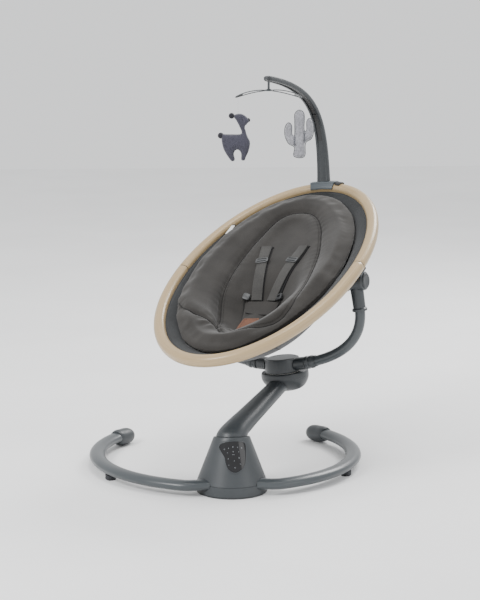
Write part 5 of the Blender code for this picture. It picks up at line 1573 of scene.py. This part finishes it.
    def sewn(self, rows: np.ndarray, outward: np.ndarray) -> np.ndarray:
        """Pull the seams in and puff the cloth beside them.

        Args:
            rows: the insert's points.
            outward: their normals.

        Returns:
            The points after sewing.
        """
        face = np.clip(outward[:, 2] * 4, 0, 1) * (rows[:, 2] > self.ring.z - 0.095)
        height = np.zeros(len(rows))
        reach = np.hypot(rows[:, 0] / 0.178, (rows[:, 1] + 0.009) / 0.3)
        leftward = 0.55 + 0.45 * np.clip(0.5 - rows[:, 0] / 0.1, 0, 1)
        inboard = np.clip((0.96 - reach) / 0.16, 0, 1)
        for corners, closed, depth, fade in ((self.egg, True, 0.0062, leftward),
                (self.foot_seam, False, 0.0055, inboard)):
            line = np.array([tuple(p) for p in self.seam(corners, closed)])
            gap, place = nearest(rows[:, :2], line)
            height -= depth * fade * np.exp(-(gap / 0.0048) ** 2)
            height += 0.0026 * np.exp(-((gap - 0.02) / 0.013) ** 2)
            pucker = np.sin(place * 330 + 2.2 * np.sin(place * 47)) * np.exp(-gap / 0.012)
            height += 0.00035 * pucker
        star = np.hypot(rows[:, 0] + 0.045, rows[:, 1] + 0.197)
        turn = np.arctan2(rows[:, 1] + 0.197, rows[:, 0] + 0.045)
        height -= 0.0045 * np.exp(-(star / 0.009) ** 2)
        height += 0.0016 * np.sin(turn * 7) * np.exp(-((star - 0.022) / 0.016) ** 2)
        lie = np.arctan2(rows[:, 1] + 0.009, rows[:, 0])
        rim = np.exp(-((reach - 0.93) / 0.09) ** 2)
        height += rim * 0.0006 * (np.sin(lie * 13 + 1.1 * np.sin(lie * 5)) + 0.6 * np.sin(lie * 23 + 2.0))
        soft = np.sin(rows[:, 0] * 41 + rows[:, 1] * 17 + 1.0) * np.sin(rows[:, 1] * 33 - rows[:, 0] * 12)
        height += 0.0011 * soft
        raised = np.clip(-rows[:, 0] / 0.18 * 0.8 + rows[:, 1] / 0.3 * 0.5, 0, 1)
        height += rim * raised * 0.006
        rows = rows + outward * (height * face)[:, None]
        # The head end leans on the ring's upper side, and the lip in front of the crotch piece is pressed down.
        lean_out, lean_up, press = 0.007, 0.011, 0.013
        share = raised * np.clip((reach - 0.7) / 0.25, 0, 1)
        lip = np.exp(-((rows[:, 0] + 0.005) / 0.055) ** 2 - ((rows[:, 1] + 0.218) / 0.036) ** 2)
        rows[:, 0] += lean_out * share * np.cos(lie)
        rows[:, 1] += lean_out * share * np.sin(lie)
        rows[:, 2] += lean_up * share - press * face * lip
        return rows


def nearest(points: np.ndarray, line: np.ndarray) -> tuple[np.ndarray, np.ndarray]:
    """Measure flat points from a line.

    Args:
        points: rows of x and y.
        line: the line's points, close together.

    Returns:
        Each point's distance from the line, and how far along it the nearest place is.
    """
    lengths = np.concatenate([[0], np.cumsum(np.linalg.norm(np.diff(line, axis=0), axis=1))])
    gap, place = np.empty(len(points)), np.empty(len(points))
    for first in range(0, len(points), 20000):
        part = points[first:first + 20000]
        square = ((part[:, None, :] - line[None, :, :]) ** 2).sum(2)
        found = square.argmin(1)
        gap[first:first + 20000] = np.sqrt(square[np.arange(len(part)), found])
        place[first:first + 20000] = lengths[found]
    return gap, place


class Surface:
    """The insert's upper face, for laying things on."""

    def __init__(self, pad: Solid) -> None:
        """Read the pad's mesh, in the seat's frame."""
        mesh = pad.data
        self.tree = BVHTree.FromPolygons([v.co.copy() for v in mesh.vertices],
            [tuple(p.vertices) for p in mesh.polygons])

    def at(self, x: float, y: float) -> tuple[Vector, Vector]:
        """Return the face's point over a place of the seat, and its normal."""
        point, normal, _, _ = self.tree.ray_cast(Vector((x, y, 0.25)), Vector((0, 0, -1)))
        return (point, normal) if point else (Vector((x, y, 0.04)), Vector((0, 0, 1)))

    def along(self, line: Sequence[Vector], lift: float) -> list[Vector]:
        """Return a flat line laid on the face."""
        laid = []
        for p in line:
            point, normal = self.at(p.x, p.y)
            laid.append(point + normal * lift)
        return laid

    def frame_at(self, x: float, y: float, ahead: Point, lift: float) -> Matrix:
        """Return the frame of a thing that lies on the face.

        Args:
            x: its place across the seat.
            y: its place along the seat.
            ahead: the flat direction that its Y points in.
            lift: how far over the face its origin is.

        Returns:
            The frame, with Z out of the face.
        """
        near = [self.at(x + dx, y + dy)[1] for dx in (-0.006, 0, 0.006) for dy in (-0.006, 0, 0.006)]
        up = sum(near, Vector()).normalized()
        forward = Vector((*ahead, 0))
        forward = (forward - up * forward.dot(up)).normalized()
        return placed(self.at(x, y)[0] + up * lift, forward.cross(up), forward, up)

    def strip(self, name: str, stations: Sequence[Sequence[float]], lift: float, thickness: float, columns: int = 8,
            crown: float = 0.0, stiff: float = 0.6) -> Solid:
        """Lay a strip along the face.

        Args:
            name: its name.
            stations: x, y and half width along its middle.
            lift: its underside over the face.
            thickness: its thickness at its edges.
            columns: how many parts its width has.
            crown: how much thicker its middle is.
            stiff: the share of each row's heights that is evened out.

        Returns:
            The strip, in the seat's frame.
        """
        line = smooth_loop(stations, 5, closed=False)
        along = directions([Vector((s[0], s[1], 0)) for s in line])
        heights, ups, flats = [], [], []
        for station, way in zip(line, along):
            across = Vector((way.y, -way.x, 0))
            flat = [Vector((station[0], station[1], 0)) + across * station[2] * (2 * i / columns - 1)
                for i in range(columns + 1)]
            found = [self.at(p.x, p.y) for p in flat]
            mean = sum(point.z for point, _ in found) / len(found)
            tilt = (found[-1][0].z - found[0][0].z) / columns
            heights.append([point.z * (1 - stiff) + (mean + tilt * (i - columns / 2)) * stiff for i,
                (point, _) in enumerate(found)])
            ups.append(sum((normal for _, normal in found), Vector()).normalized())
            flats.append(flat)
        smooth = np.array(heights)
        for _ in range(3):
            inner = (smooth[:-2] + smooth[2:]) / 2
            smooth[1:-1] = smooth[1:-1] * 0.5 + inner * 0.5
        rings = []
        for k, (flat, up) in enumerate(zip(flats, ups)):
            base = [Vector((p.x, p.y, smooth[k][i])) for i, p in enumerate(flat)]
            low = [p + up * lift for p in base]
            high = [p + up * (lift + thickness + crown * (1 - (2 * i / columns - 1) ** 2)) for i,
                p in enumerate(base)]
            rings.append(low + high[::-1])
        return loft(name, rings, sharp=60)


@dataclass
class Harness:
    """The straps, adjusters, waist buckles, crotch piece, label and tag, laid on the finished insert."""

    surface: Surface
    shoulder: Point = (0.047, 0.09)
    waist: Point = (0.019, -0.06)
    half_width: float = 0.0115
    share: float = 0.33

    def station(self, side: int, share: float, extra: float = 0.0, shift: float = 0.0) -> tuple[float, float, float]:
        """Return a place along a shoulder strap: x, y and half width."""
        x = side * (self.shoulder[0] + (self.waist[0] - self.shoulder[0]) * share) + shift
        return x, self.shoulder[1] + (self.waist[1] - self.shoulder[1]) * share, self.half_width + extra

    def build(self, frames: Frames) -> None:
        """Build the harness.

        Args:
            frames: the sub-assemblies' frames.
        """
        for name, side in (("left", -1), ("right", 1)):
            for made, finish, nodes, slot in self.shoulder_side(name, side):
                made.data.transform(frames.seat)
                dress(made, finish, "seat", nodes)
        crotch = self.surface.strip("Crotch_Piece", ((0, -0.066, 0.043), (0, -0.07, 0.0445), (0, -0.09, 0.041),
            (0, -0.115, 0.034), (0, -0.14, 0.029), (0, -0.163, 0.027), (0, -0.18, 0.0245), (0, -0.184, 0.021)),
            0.0022, 0.0022, 12, 0.0055, 0.75)
        # The crotch piece's edge and slit get a dark cord of painted shade.
        edge = self.crotch_edge()
        crotch.data.transform(frames.seat)
        edge.data.transform(frames.seat)
        dress(crotch, Finish.KNIT, "seat", ["crotch_piece"])
        dress(edge, Finish.KNIT_THREAD_AND_SHADE, "seat")
        self.label(frames)
        tag = placed(Vector((-0.1575, 0.138, 0.0386 + 0.015)), Vector((1, 0, 0)), Vector((0, 1, 0)),
            Vector((0, 0, 1)))
        ribbon = box_solid("Woven_Tag", tag, (0.009, 0.044, 0.0012), 12, 24)
        border = [box_solid("Border", tag @ Matrix.Translation((0, y, 0.0002)), (0.0094, 0.0035, 0.0014), 12, 24)
            for y in (-0.0195, 0.0195)]
        dark = joined("Woven_Tag_Border", border)
        for piece, finish, nodes in ((ribbon, Finish.RIBBON, ["woven_tag"]), (dark, Finish.BLACK_WEB, [])):
            piece.data.transform(frames.seat)
            dress(piece, finish, "seat", nodes)

    def shoulder_side(self, name: str, side: int) -> list[tuple]:
        """Return one side's strap, webbing, slot, adjuster and waist buckle, with their finishes, nodes and slots."""
        shares = [i / 10 for i in range(11)]
        strap = self.surface.strip("Shoulder_Strap_" + name, [self.station(side, s) for s in shares], 0.004, 0.0024,
            8, 0.001)
        under = self.surface.strip("Shoulder_Webbing_" + name, [self.station(side, s, -0.002,
            0.0045 + 0.0055 * max(side, 0) * s ** 2) for s in shares], 0.001, 0.0016, 6)
        ahead = (side * (self.waist[0] - self.shoulder[0]), self.waist[1] - self.shoulder[1])
        top = self.surface.frame_at(side * self.shoulder[0], self.shoulder[1] + 0.001, ahead, 0.0012)
        slot = box_solid("Strap_Slot_" + name, top, (0.032, 0.0065, 0.003), 3, 32)
        x, y, _ = self.station(side, self.share)
        place = self.surface.frame_at(x, y, ahead, 0.0088)
        plate = box_solid("Strap_Adjuster_" + name, place, (0.029, 0.015, 0.003), 5, 40)
        for shift in (-0.0036, 0.0036):
            cut(plate, box_solid("Cutter", place @ Matrix.Translation((0, shift, 0)), (0.0215, 0.0026, 0.02), 8, 24))
        bridge = box_solid("Adjuster_Web_" + name, place @ Matrix.Translation((0, 0, -0.0008)),
            (0.0205, 0.0118, 0.0022), 6, 24)
        buckle_place = self.surface.frame_at(side * 0.043, self.waist[1] + 0.0015, (0.0, 1.0), 0.0068)
        buckle = box_solid("Waist_Buckle_" + name, buckle_place, (0.016, 0.0165, 0.0065), 4, 40)
        if side > 0:
            cut(buckle, box_solid("Cutter", buckle_place @ Matrix.Translation((0, 0.0015, 0.003)),
                (0.0085, 0.005, 0.01), 6, 24))
        return [(strap, Finish.STRAP, ["shoulder_strap_" + name], "webbing"),
            (under, Finish.BLACK_WEB, [], "webbing"), (slot, Finish.BLACK_WEB, [], "webbing"),
            (plate, Finish.BUCKLE, ["strap_adjuster_" + name], "dark_plastic"),
            (bridge, Finish.BLACK_WEB, [], "webbing"), (buckle, Finish.BLACK_PLASTIC if side > 0 else Finish.BUCKLE,
            ["side_buckle_" + name], "dark_plastic")]

    def crotch_edge(self) -> Solid:
        """Return the dark cord round the crotch piece and across its slit: painted shade along the edge and in the
        slit.
        """
        corners = ((-0.042, -0.067), (0.0, -0.066), (0.042, -0.067), (0.044, -0.074), (0.04, -0.09), (0.033, -0.115),
            (0.028, -0.14), (0.0262, -0.163), (0.021, -0.181), (0.0, -0.185), (-0.021, -0.181), (-0.0262, -0.163),
            (-0.028, -0.14), (-0.033, -0.115), (-0.04, -0.09), (-0.044, -0.074))
        line = self.surface.along(smooth_loop(corners, 4), 0.0032)
        slit = self.surface.along([Vector((x, -0.108 - 0.15 * x)) for x in np.linspace(-0.028, 0.028, 14)], 0.0096)
        return lay("Crotch_Edge_Painted_Shade", [(line, True), (slit, False)], Follow.CORD, 0.0012, 0.003, Finish.KNIT_THREAD_AND_SHADE)

    def label(self, frames: Frames) -> None:
        """Build the blank leather label and its stitches.

        Args:
            frames: the sub-assemblies' frames.
        """
        patch = self.surface.strip("Leather_Label", ((-0.002, -0.126, 0.017), (-0.002, -0.1272, 0.019),
            (-0.002, -0.148, 0.02), (-0.002, -0.169, 0.019), (-0.002, -0.1702, 0.017)), 0.0105, 0.0014, 10, 0.0002,
            0.9)
        rim = [Vector((-0.002 + x, y)) for x, y in ((-0.016, -0.1295), (0.016, -0.1295), (0.016, -0.1665),
            (-0.016, -0.1665))]
        lines = []
        for a, b in zip(rim, rim[1:] + rim[:1]):
            lines.append((self.surface.along([a.lerp(b, i / 8) for i in range(9)], 0.0122), False))
        stitches = lay("Label_Stitches", lines, Follow.STITCH, 0.0004, 0.0036, Finish.STRAP, 0.0012)
        for piece, finish, nodes in ((patch, Finish.LEATHER, ["leather_patch"]), (stitches, Finish.STRAP, [])):
            piece.data.transform(frames.seat)
            dress(piece, finish, "seat", nodes)


@dataclass
class ToyBar:
    """The arch that clips on the ring's head end: saddle, latch, mast and grooved arch."""

    ring: SeatRing = field(default_factory=SeatRing)
    recline: float = math.radians(23.8)
    foot: float = 0.01748
    curve: Sequence[Point] = ((0.086, 0.14), (0.096, 0.215), (-0.1, 0.3455))
    width: Point = (0.03, 0.017)
    thickness: Point = (0.017, 0.012)
    joint: float = 0.46

    def path(self, start: float, end: float, steps: int) -> list[Vector]:
        """Return the bar's centre line between two shares of it."""
        ring_end = Vector((0, self.ring.y + self.ring.half_length, self.ring.z))
        crown = Vector((0, math.sin(self.recline), math.cos(self.recline)))
        points = [ring_end + Vector((0, y, z)) for y, z in self.curve]
        return bezier((ring_end + crown * (self.foot + GAP), *points), steps, start, end)

    def size(self, share: float) -> Point:
        """Return the bar's width and thickness at a share of its curve."""
        return (self.width[0] + (self.width[1] - self.width[0]) * share ** 0.7,
            self.thickness[0] + (self.thickness[1] - self.thickness[0]) * share)

    def grooved(self, width: float, thickness: float, groove: float) -> list[Point]:
        """Return a softened rectangle with a groove along its inner side."""
        w, t, g = width / 2, thickness / 2, width * 0.26
        corners = [(-w, 0.3 * t), (-w, -0.6 * t), (-0.93 * w, -0.9 * t), (-0.8 * w, -t), (-g * 1.1, -t),
            (-g, -t + 0.0006), (-g * 0.9, -t + groove), (g * 0.9, -t + groove), (g, -t + 0.0006), (g * 1.1, -t),
            (0.8 * w, -t), (0.93 * w, -0.9 * t), (w, -0.6 * t), (w, 0.3 * t), (0.9 * w, 0.66 * t),
            (0.62 * w, 0.9 * t), (0.3 * w, 0.98 * t), (0, t), (-0.3 * w, 0.98 * t), (-0.62 * w, 0.9 * t),
            (-0.9 * w, 0.66 * t)]
        return corners

    def length(self, name: str, start: float, end: float, steps: int,
            groove: Callable[[float], float]) -> Solid:
        """Return one length of the bar.

        Args:
            name: its name.
            start: the share of the curve that it starts at.
            end: the share that it ends at.
            steps: how many stretches it has.
            groove: the groove's depth at a share of the curve.

        Returns:
            The solid, in the seat's frame.
        """
        path = self.path(start, end, steps)
        shares = [start + (end - start) * i / steps for i in range(steps + 1)]
        sections = [self.grooved(*self.size(share), groove(share)) for share in shares]
        if end == 1.0:
            for k, shrink in ((-1, 0.55), (-2, 0.85), (-3, 0.96)):
                sections[k] = [(u * shrink, v * shrink) for u, v in sections[k]]
        else:
            sections[-1] = [(u * 0.96, v * 0.96) for u, v in sections[-1]]
        rings = sweep_rings(path, sections, Vector((-1, 0, 0)))
        if start == 0:
            crown = Vector((0, math.sin(self.recline), math.cos(self.recline)))
            along = (path[1] - path[0]).normalized()
            rings[0] = [p + along * ((path[0] - p).dot(crown) / along.dot(crown)) for p in rings[0]]
        return loft(name, rings, sharp=32)

    def build(self, frames: Frames) -> None:
        """Build the bar's two lengths and dress its saddle and latch.

        Args:
            frames: the sub-assemblies' frames.
        """
        mast = self.length("Toy_Bar_Mast", 0.0, self.joint, 60, lambda share: 0.0009 + 0.0042
            * min(max((share - 0.16) / 0.2, 0), 1))
        arch = self.length("Toy_Bar_Arch", self.joint + 0.001, 1.0, 70,
            lambda share: 0.005 if share < 0.965 else 0.001)
        for piece, node in ((mast, "toy_bar_mast"), (arch, "toy_bar_arch")):
            piece.data.transform(frames.seat)
            dress(piece, Finish.DARK_SHELL, "toy_bar", [node])
        # A dark strip in the groove of the mast and of the arch is painted shade of the recess.
        channel_shades = [self.channel_shade(0.22, self.joint - 0.004), self.channel_shade(self.joint + 0.006, 0.955)]
        channel_shade = joined("Toy_Bar_Channel_Painted_Shade", channel_shades)
        channel_shade.data.transform(frames.seat)
        dress(channel_shade, Finish.BLACK_PLASTIC, "toy_bar")
        for node, finish, slot in (("toy_bar_saddle", Finish.SADDLE, "saddle_plastic"),
                ("toy_bar_latch", Finish.BLACK_PLASTIC, "dark_plastic")):
            piece = eased(node, 0.0007)
            dress(piece, finish, "toy_bar", [node])

    def channel_shade(self, start: float, end: float) -> Solid:
        """Return the dark strip at the bottom of the groove: painted shade of the groove's recess."""
        path = self.path(start, end, 40)
        sections = []
        for i in range(41):
            width, thick = self.size(start + (end - start) * i / 40)
            half, base = width * 0.26 * 0.86, -thick / 2 + 0.0026
            sections.append([(-half, base), (half, base), (half, base + 0.002), (-half, base + 0.002)])
        return loft("Channel_Shade", sweep_rings(path, sections, Vector((-1, 0, 0))), sharp=32)


def eased(node: str, width: float) -> Solid:
    """Return a copy of a CAD node with its edges rounded.

    Args:
        node: the node's name.
        width: the rounding's width.

    Returns:
        The copy.
    """
    built = bmesh.new()
    built.from_mesh(frame["nodes"][node].data)
    bmesh.ops.remove_doubles(built, verts=built.verts, dist=1e-6)
    bmesh.ops.dissolve_limit(built, angle_limit=math.radians(1), verts=built.verts, edges=built.edges)
    mesh = bpy.data.meshes.new(node + "_eased")
    built.to_mesh(mesh)
    built.free()
    name = "".join(word.capitalize() + "_" for word in node.split("_"))[:-1]
    made = bpy.data.objects.new(name, mesh)
    bpy.context.scene.collection.objects.link(made)
    return soften(made, width)


@dataclass
class Mobile:
    """The stem under the bar's tip, the bow with its two loops, and the strings."""

    stem: float = 0.0155
    stem_r: float = 0.0026
    span: float = 0.0728
    droop: float = 0.015
    drop: float = 0.0037
    loop_half_width: float = 0.008
    roll: float = math.radians(25)
    rod_r: float = 0.0011

    def loop(self, side: int, steps: int = 72) -> list[Vector]:
        """Return one leaf-shaped loop from the hub out to its tip."""
        turn = Matrix.Rotation(self.roll, 3, "X")
        points = []
        for i in range(steps):
            a = math.tau * i / steps
            share = (1 - math.cos(a)) / 2
            point = turn @ Vector((0, self.loop_half_width * math.sin(a) * (0.45 + 0.55 * share), 0))
            points.append(Vector((side * (0.004 + (self.span - 0.004) * share), side * point.y,
                -self.droop * share ** 2 + point.z)))
        return points

    def build(self, frames: Frames) -> None:
        """Build the mobile and the toys' strings.

        Args:
            frames: the sub-assemblies' frames.
        """
        low = -self.stem - self.drop
        stem = turned("Mobile_Stem", [(0, -self.stem), (self.stem_r, -self.stem), (self.stem_r, 0), (0, 0)],
            frames.hang, 28)
        hub = turned("Mobile_Bow_Hub", [(0, low - 0.0012), (0.0086, low - 0.0012), (0.0103, low - 0.0004),
            (0.0105, low + 0.0003), (0.0095, low + 0.0012), (0.005, -self.stem - GAP - 0.001),
            (0.0038, -self.stem - GAP), (0, -self.stem - GAP)], frames.hang, 40)
        lines = [([frames.hang @ (p + Vector((0, 0, low))) for p in self.loop(side)], True) for side in (-1, 1)]
        loops = lay("Mobile_Loops", lines, Follow.CORD, self.rod_r, 0.003, Finish.SHELL)
        tips = []
        for side in (-1, 1):
            leaf = self.loop(side, 72)[24:49]
            middle = sum(leaf, Vector()) / len(leaf)
            rings = [[frames.hang @ (p.lerp(middle, 0.08) + Vector((0, 0, low + lift))) for p in leaf]
                for lift in (-0.0005, 0.0005)]
            tips.append(loft("Tip", rings))
        dress(stem, Finish.SHELL, "mobile", ["mobile_stem"])
        dress(hub, Finish.SHELL, "mobile", ["mobile_bow"])
        dress(loops, Finish.SHELL, "mobile")
        dress(joined("Mobile_Leaf_Tips", tips), Finish.BLACK_PLASTIC, "mobile")


@dataclass
class PlushToy:
    """A stuffed toy cut to an outline, hanging on its string."""

    name: str
    node: str
    body: str
    outline: Sequence[Point]
    string: float
    thickness: float
    finish: Finish
    slot: str
    swell: float
    extras: Sequence[tuple[float, float, float]] = ()       # dark balls: x, height and radius
    seams: Sequence[Sequence[Point]] = ()
    edging: bool = False

    def place(self, hook: Vector, frames: Frames) -> Matrix:
        """Return the frame with its origin at the hook, X along the mobile's bow and Z up."""
        made = frames.hang.copy()
        made.translation = hook
        return made

    def build(self, frames: Frames, hook: Vector) -> None:
        """Build the toy and its string.

        Args:
            frames: the sub-assemblies' frames.
            hook: where its string hangs from.
        """
        place = self.place(hook, frames)
        corners = smooth_loop(self.outline, 4)
        area = sum(a.x * b.y - b.x * a.y for a, b in zip(corners, corners[1:] + corners[:1]))
        corners = corners if area > 0 else corners[::-1]
        rings = []
        slim = self.thickness * 0.62
        for inset, level in ((0.0032, -0.5), (0.0012, -0.36), (0.0006, -0.15), (0.0006, 0.15), (0.0012, 0.36),
                (0.0032, 0.5)):
            rings.append([Vector((p.x, level * slim, p.y - self.string - GAP)) for p in grown(corners, -inset)])
        toy = loft(self.name, rings, sharp=180)
        stuff(toy, 2.2 * MM, 3.0, self.swell)
        rows = relax(coordinates(toy), edges_of(toy), 2)
        set_coordinates(toy, rows)
        subdivide(toy)
        rows, outward = coordinates(toy), normals(toy)
        height = np.zeros(len(rows))
        for seam in self.seams:
            line = np.array([(p.x, p.y - self.string) for p in smooth_loop(seam, 10, closed=False)])
            gap, _ = nearest(rows[:, [0, 2]], line)
            height -= 0.0022 * np.exp(-(gap / 0.0016) ** 2) * np.abs(outward[:, 1])
        set_coordinates(toy, rows + outward * height[:, None])
        toy.data.transform(place)
        dress(toy, self.finish, self.body, [self.node])
        line = turned(self.name + "_String", [(0, -self.string - 0.002), (0.0006, -self.string - 0.002),
            (0.0006, -0.0012), (0, -0.0012)], place, 10)
        dress(line, Finish.LINE, self.body, [self.node + "_string"])
        self.trim(place)

    def trim(self, place: Matrix) -> None:
        """Add the dark balls, or the edging and seam stitches."""
        if self.extras:
            balls = []
            for x, height, radius in self.extras:
                centre = Matrix.Translation((x, 0, height - self.string))
                profile = [(radius * math.cos(a), radius * math.sin(a)) for a in np.linspace(-math.pi / 2,
                    math.pi / 2, 18)]
                balls.append(turned("Ball", profile, place @ centre, 32, 180))
            dress(joined(self.name + "_Tufts", balls), Finish.DARK_PLUSH, self.body)
        lines = []
        if self.edging:
            corners = smooth_loop(self.outline, 4)
            lines.append(([place @ Vector((p.x, 0, p.y - self.string - GAP)) for p in corners], True))
        for seam in self.seams:
            for front in (-1, 1):
                depth = front * self.thickness * 0.4
                lines.append(([place @ Vector((p.x, depth, p.y - self.string))
                    for p in smooth_loop(seam, 8, closed=False)], False))
        if lines and self.edging:
            dress(lay(self.name + "_Edging", lines, Follow.CORD, 0.001, 0.0018, Finish.EDGING), Finish.EDGING,
                self.body)


LLAMA = PlushToy("Llama_Toy", "llama_toy", "llama", ((0.0265, -0.0175), (0.0205, -0.0235), (0.0145, -0.03),
    (0.018, -0.04), (0.0225, -0.052), (0.028, -0.064), (0.0255, -0.083), (0.0195, -0.098), (0.0175, -0.105),
    (0.0085, -0.105), (0.007, -0.09), (-0.001, -0.0815), (-0.009, -0.09), (-0.007, -0.104), (-0.015, -0.108),
    (-0.0245, -0.096), (-0.033, -0.08), (-0.037, -0.062), (-0.037, -0.054), (-0.035, -0.044), (-0.029, -0.046),
    (0.004, -0.046), (0.008, -0.043), (0.004, -0.032), (-0.002, -0.02), (-0.006, -0.013), (-0.01, -0.008),
    (-0.008, -0.003), (0.0, -0.0005), (0.01, -0.001), (0.02, -0.008)), 0.034, 0.026, Finish.PLUSH, "dark_plush",
    5 * MM, ((-0.014, -0.0065, 0.0066), (-0.0378, -0.05, 0.0068), (0.0225, -0.016, 0.0048)),
    (((0.004, -0.002), (0.012, -0.017)),))
CACTUS = PlushToy("Cactus_Toy", "cactus_toy", "cactus", ((0.0108, -0.01), (0.0108, -0.044), (0.0165, -0.0455),
    (0.0165, -0.027), (0.022, -0.0195), (0.029, -0.025), (0.032, -0.046), (0.027, -0.064), (0.014, -0.074),
    (0.012, -0.1035), (-0.011, -0.103), (-0.01, -0.083), (-0.023, -0.075), (-0.031, -0.058), (-0.031, -0.039),
    (-0.024, -0.029), (-0.0165, -0.035), (-0.016, -0.054), (-0.01, -0.056), (-0.0098, -0.024), (-0.0095, -0.009),
    (0.0, -0.001)), 0.0265, 0.014, Finish.VELOUR, "silver_velour", 3 * MM,
    seams=(((0.011, -0.048), (0.012, -0.072)), ((-0.01, -0.058), (-0.01, -0.08))), edging=True)


# ---------------------------------------------------------------- the whole


def main() -> None:
    """Build every sub-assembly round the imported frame."""
    logging.basicConfig(level=logging.INFO, format="%(message)s")
    frames = Frames.from_joints(math.radians(23.8))
    Studio().build()
    Housing().build()
    FloorFrame().build()
    SwingArm().build(frames)
    Hub().build(frames)
    SeatRing().build(frames)
    seat = SoftSeat()
    seat.build_bowl(frames)
    insert = seat.build_insert(frames)
    Harness(Surface(insert)).build(frames)
    insert.data.transform(frames.seat)
    dress(insert, Finish.KNIT, "seat", ["seat_insert"])
    ToyBar().build(frames)
    Mobile().build(frames)
    for toy, hook in ((LLAMA, frames.hooks[0]), (CACTUS, frames.hooks[1])):
        toy.build(frames, hook)


if __name__ == "__main__":
    main()
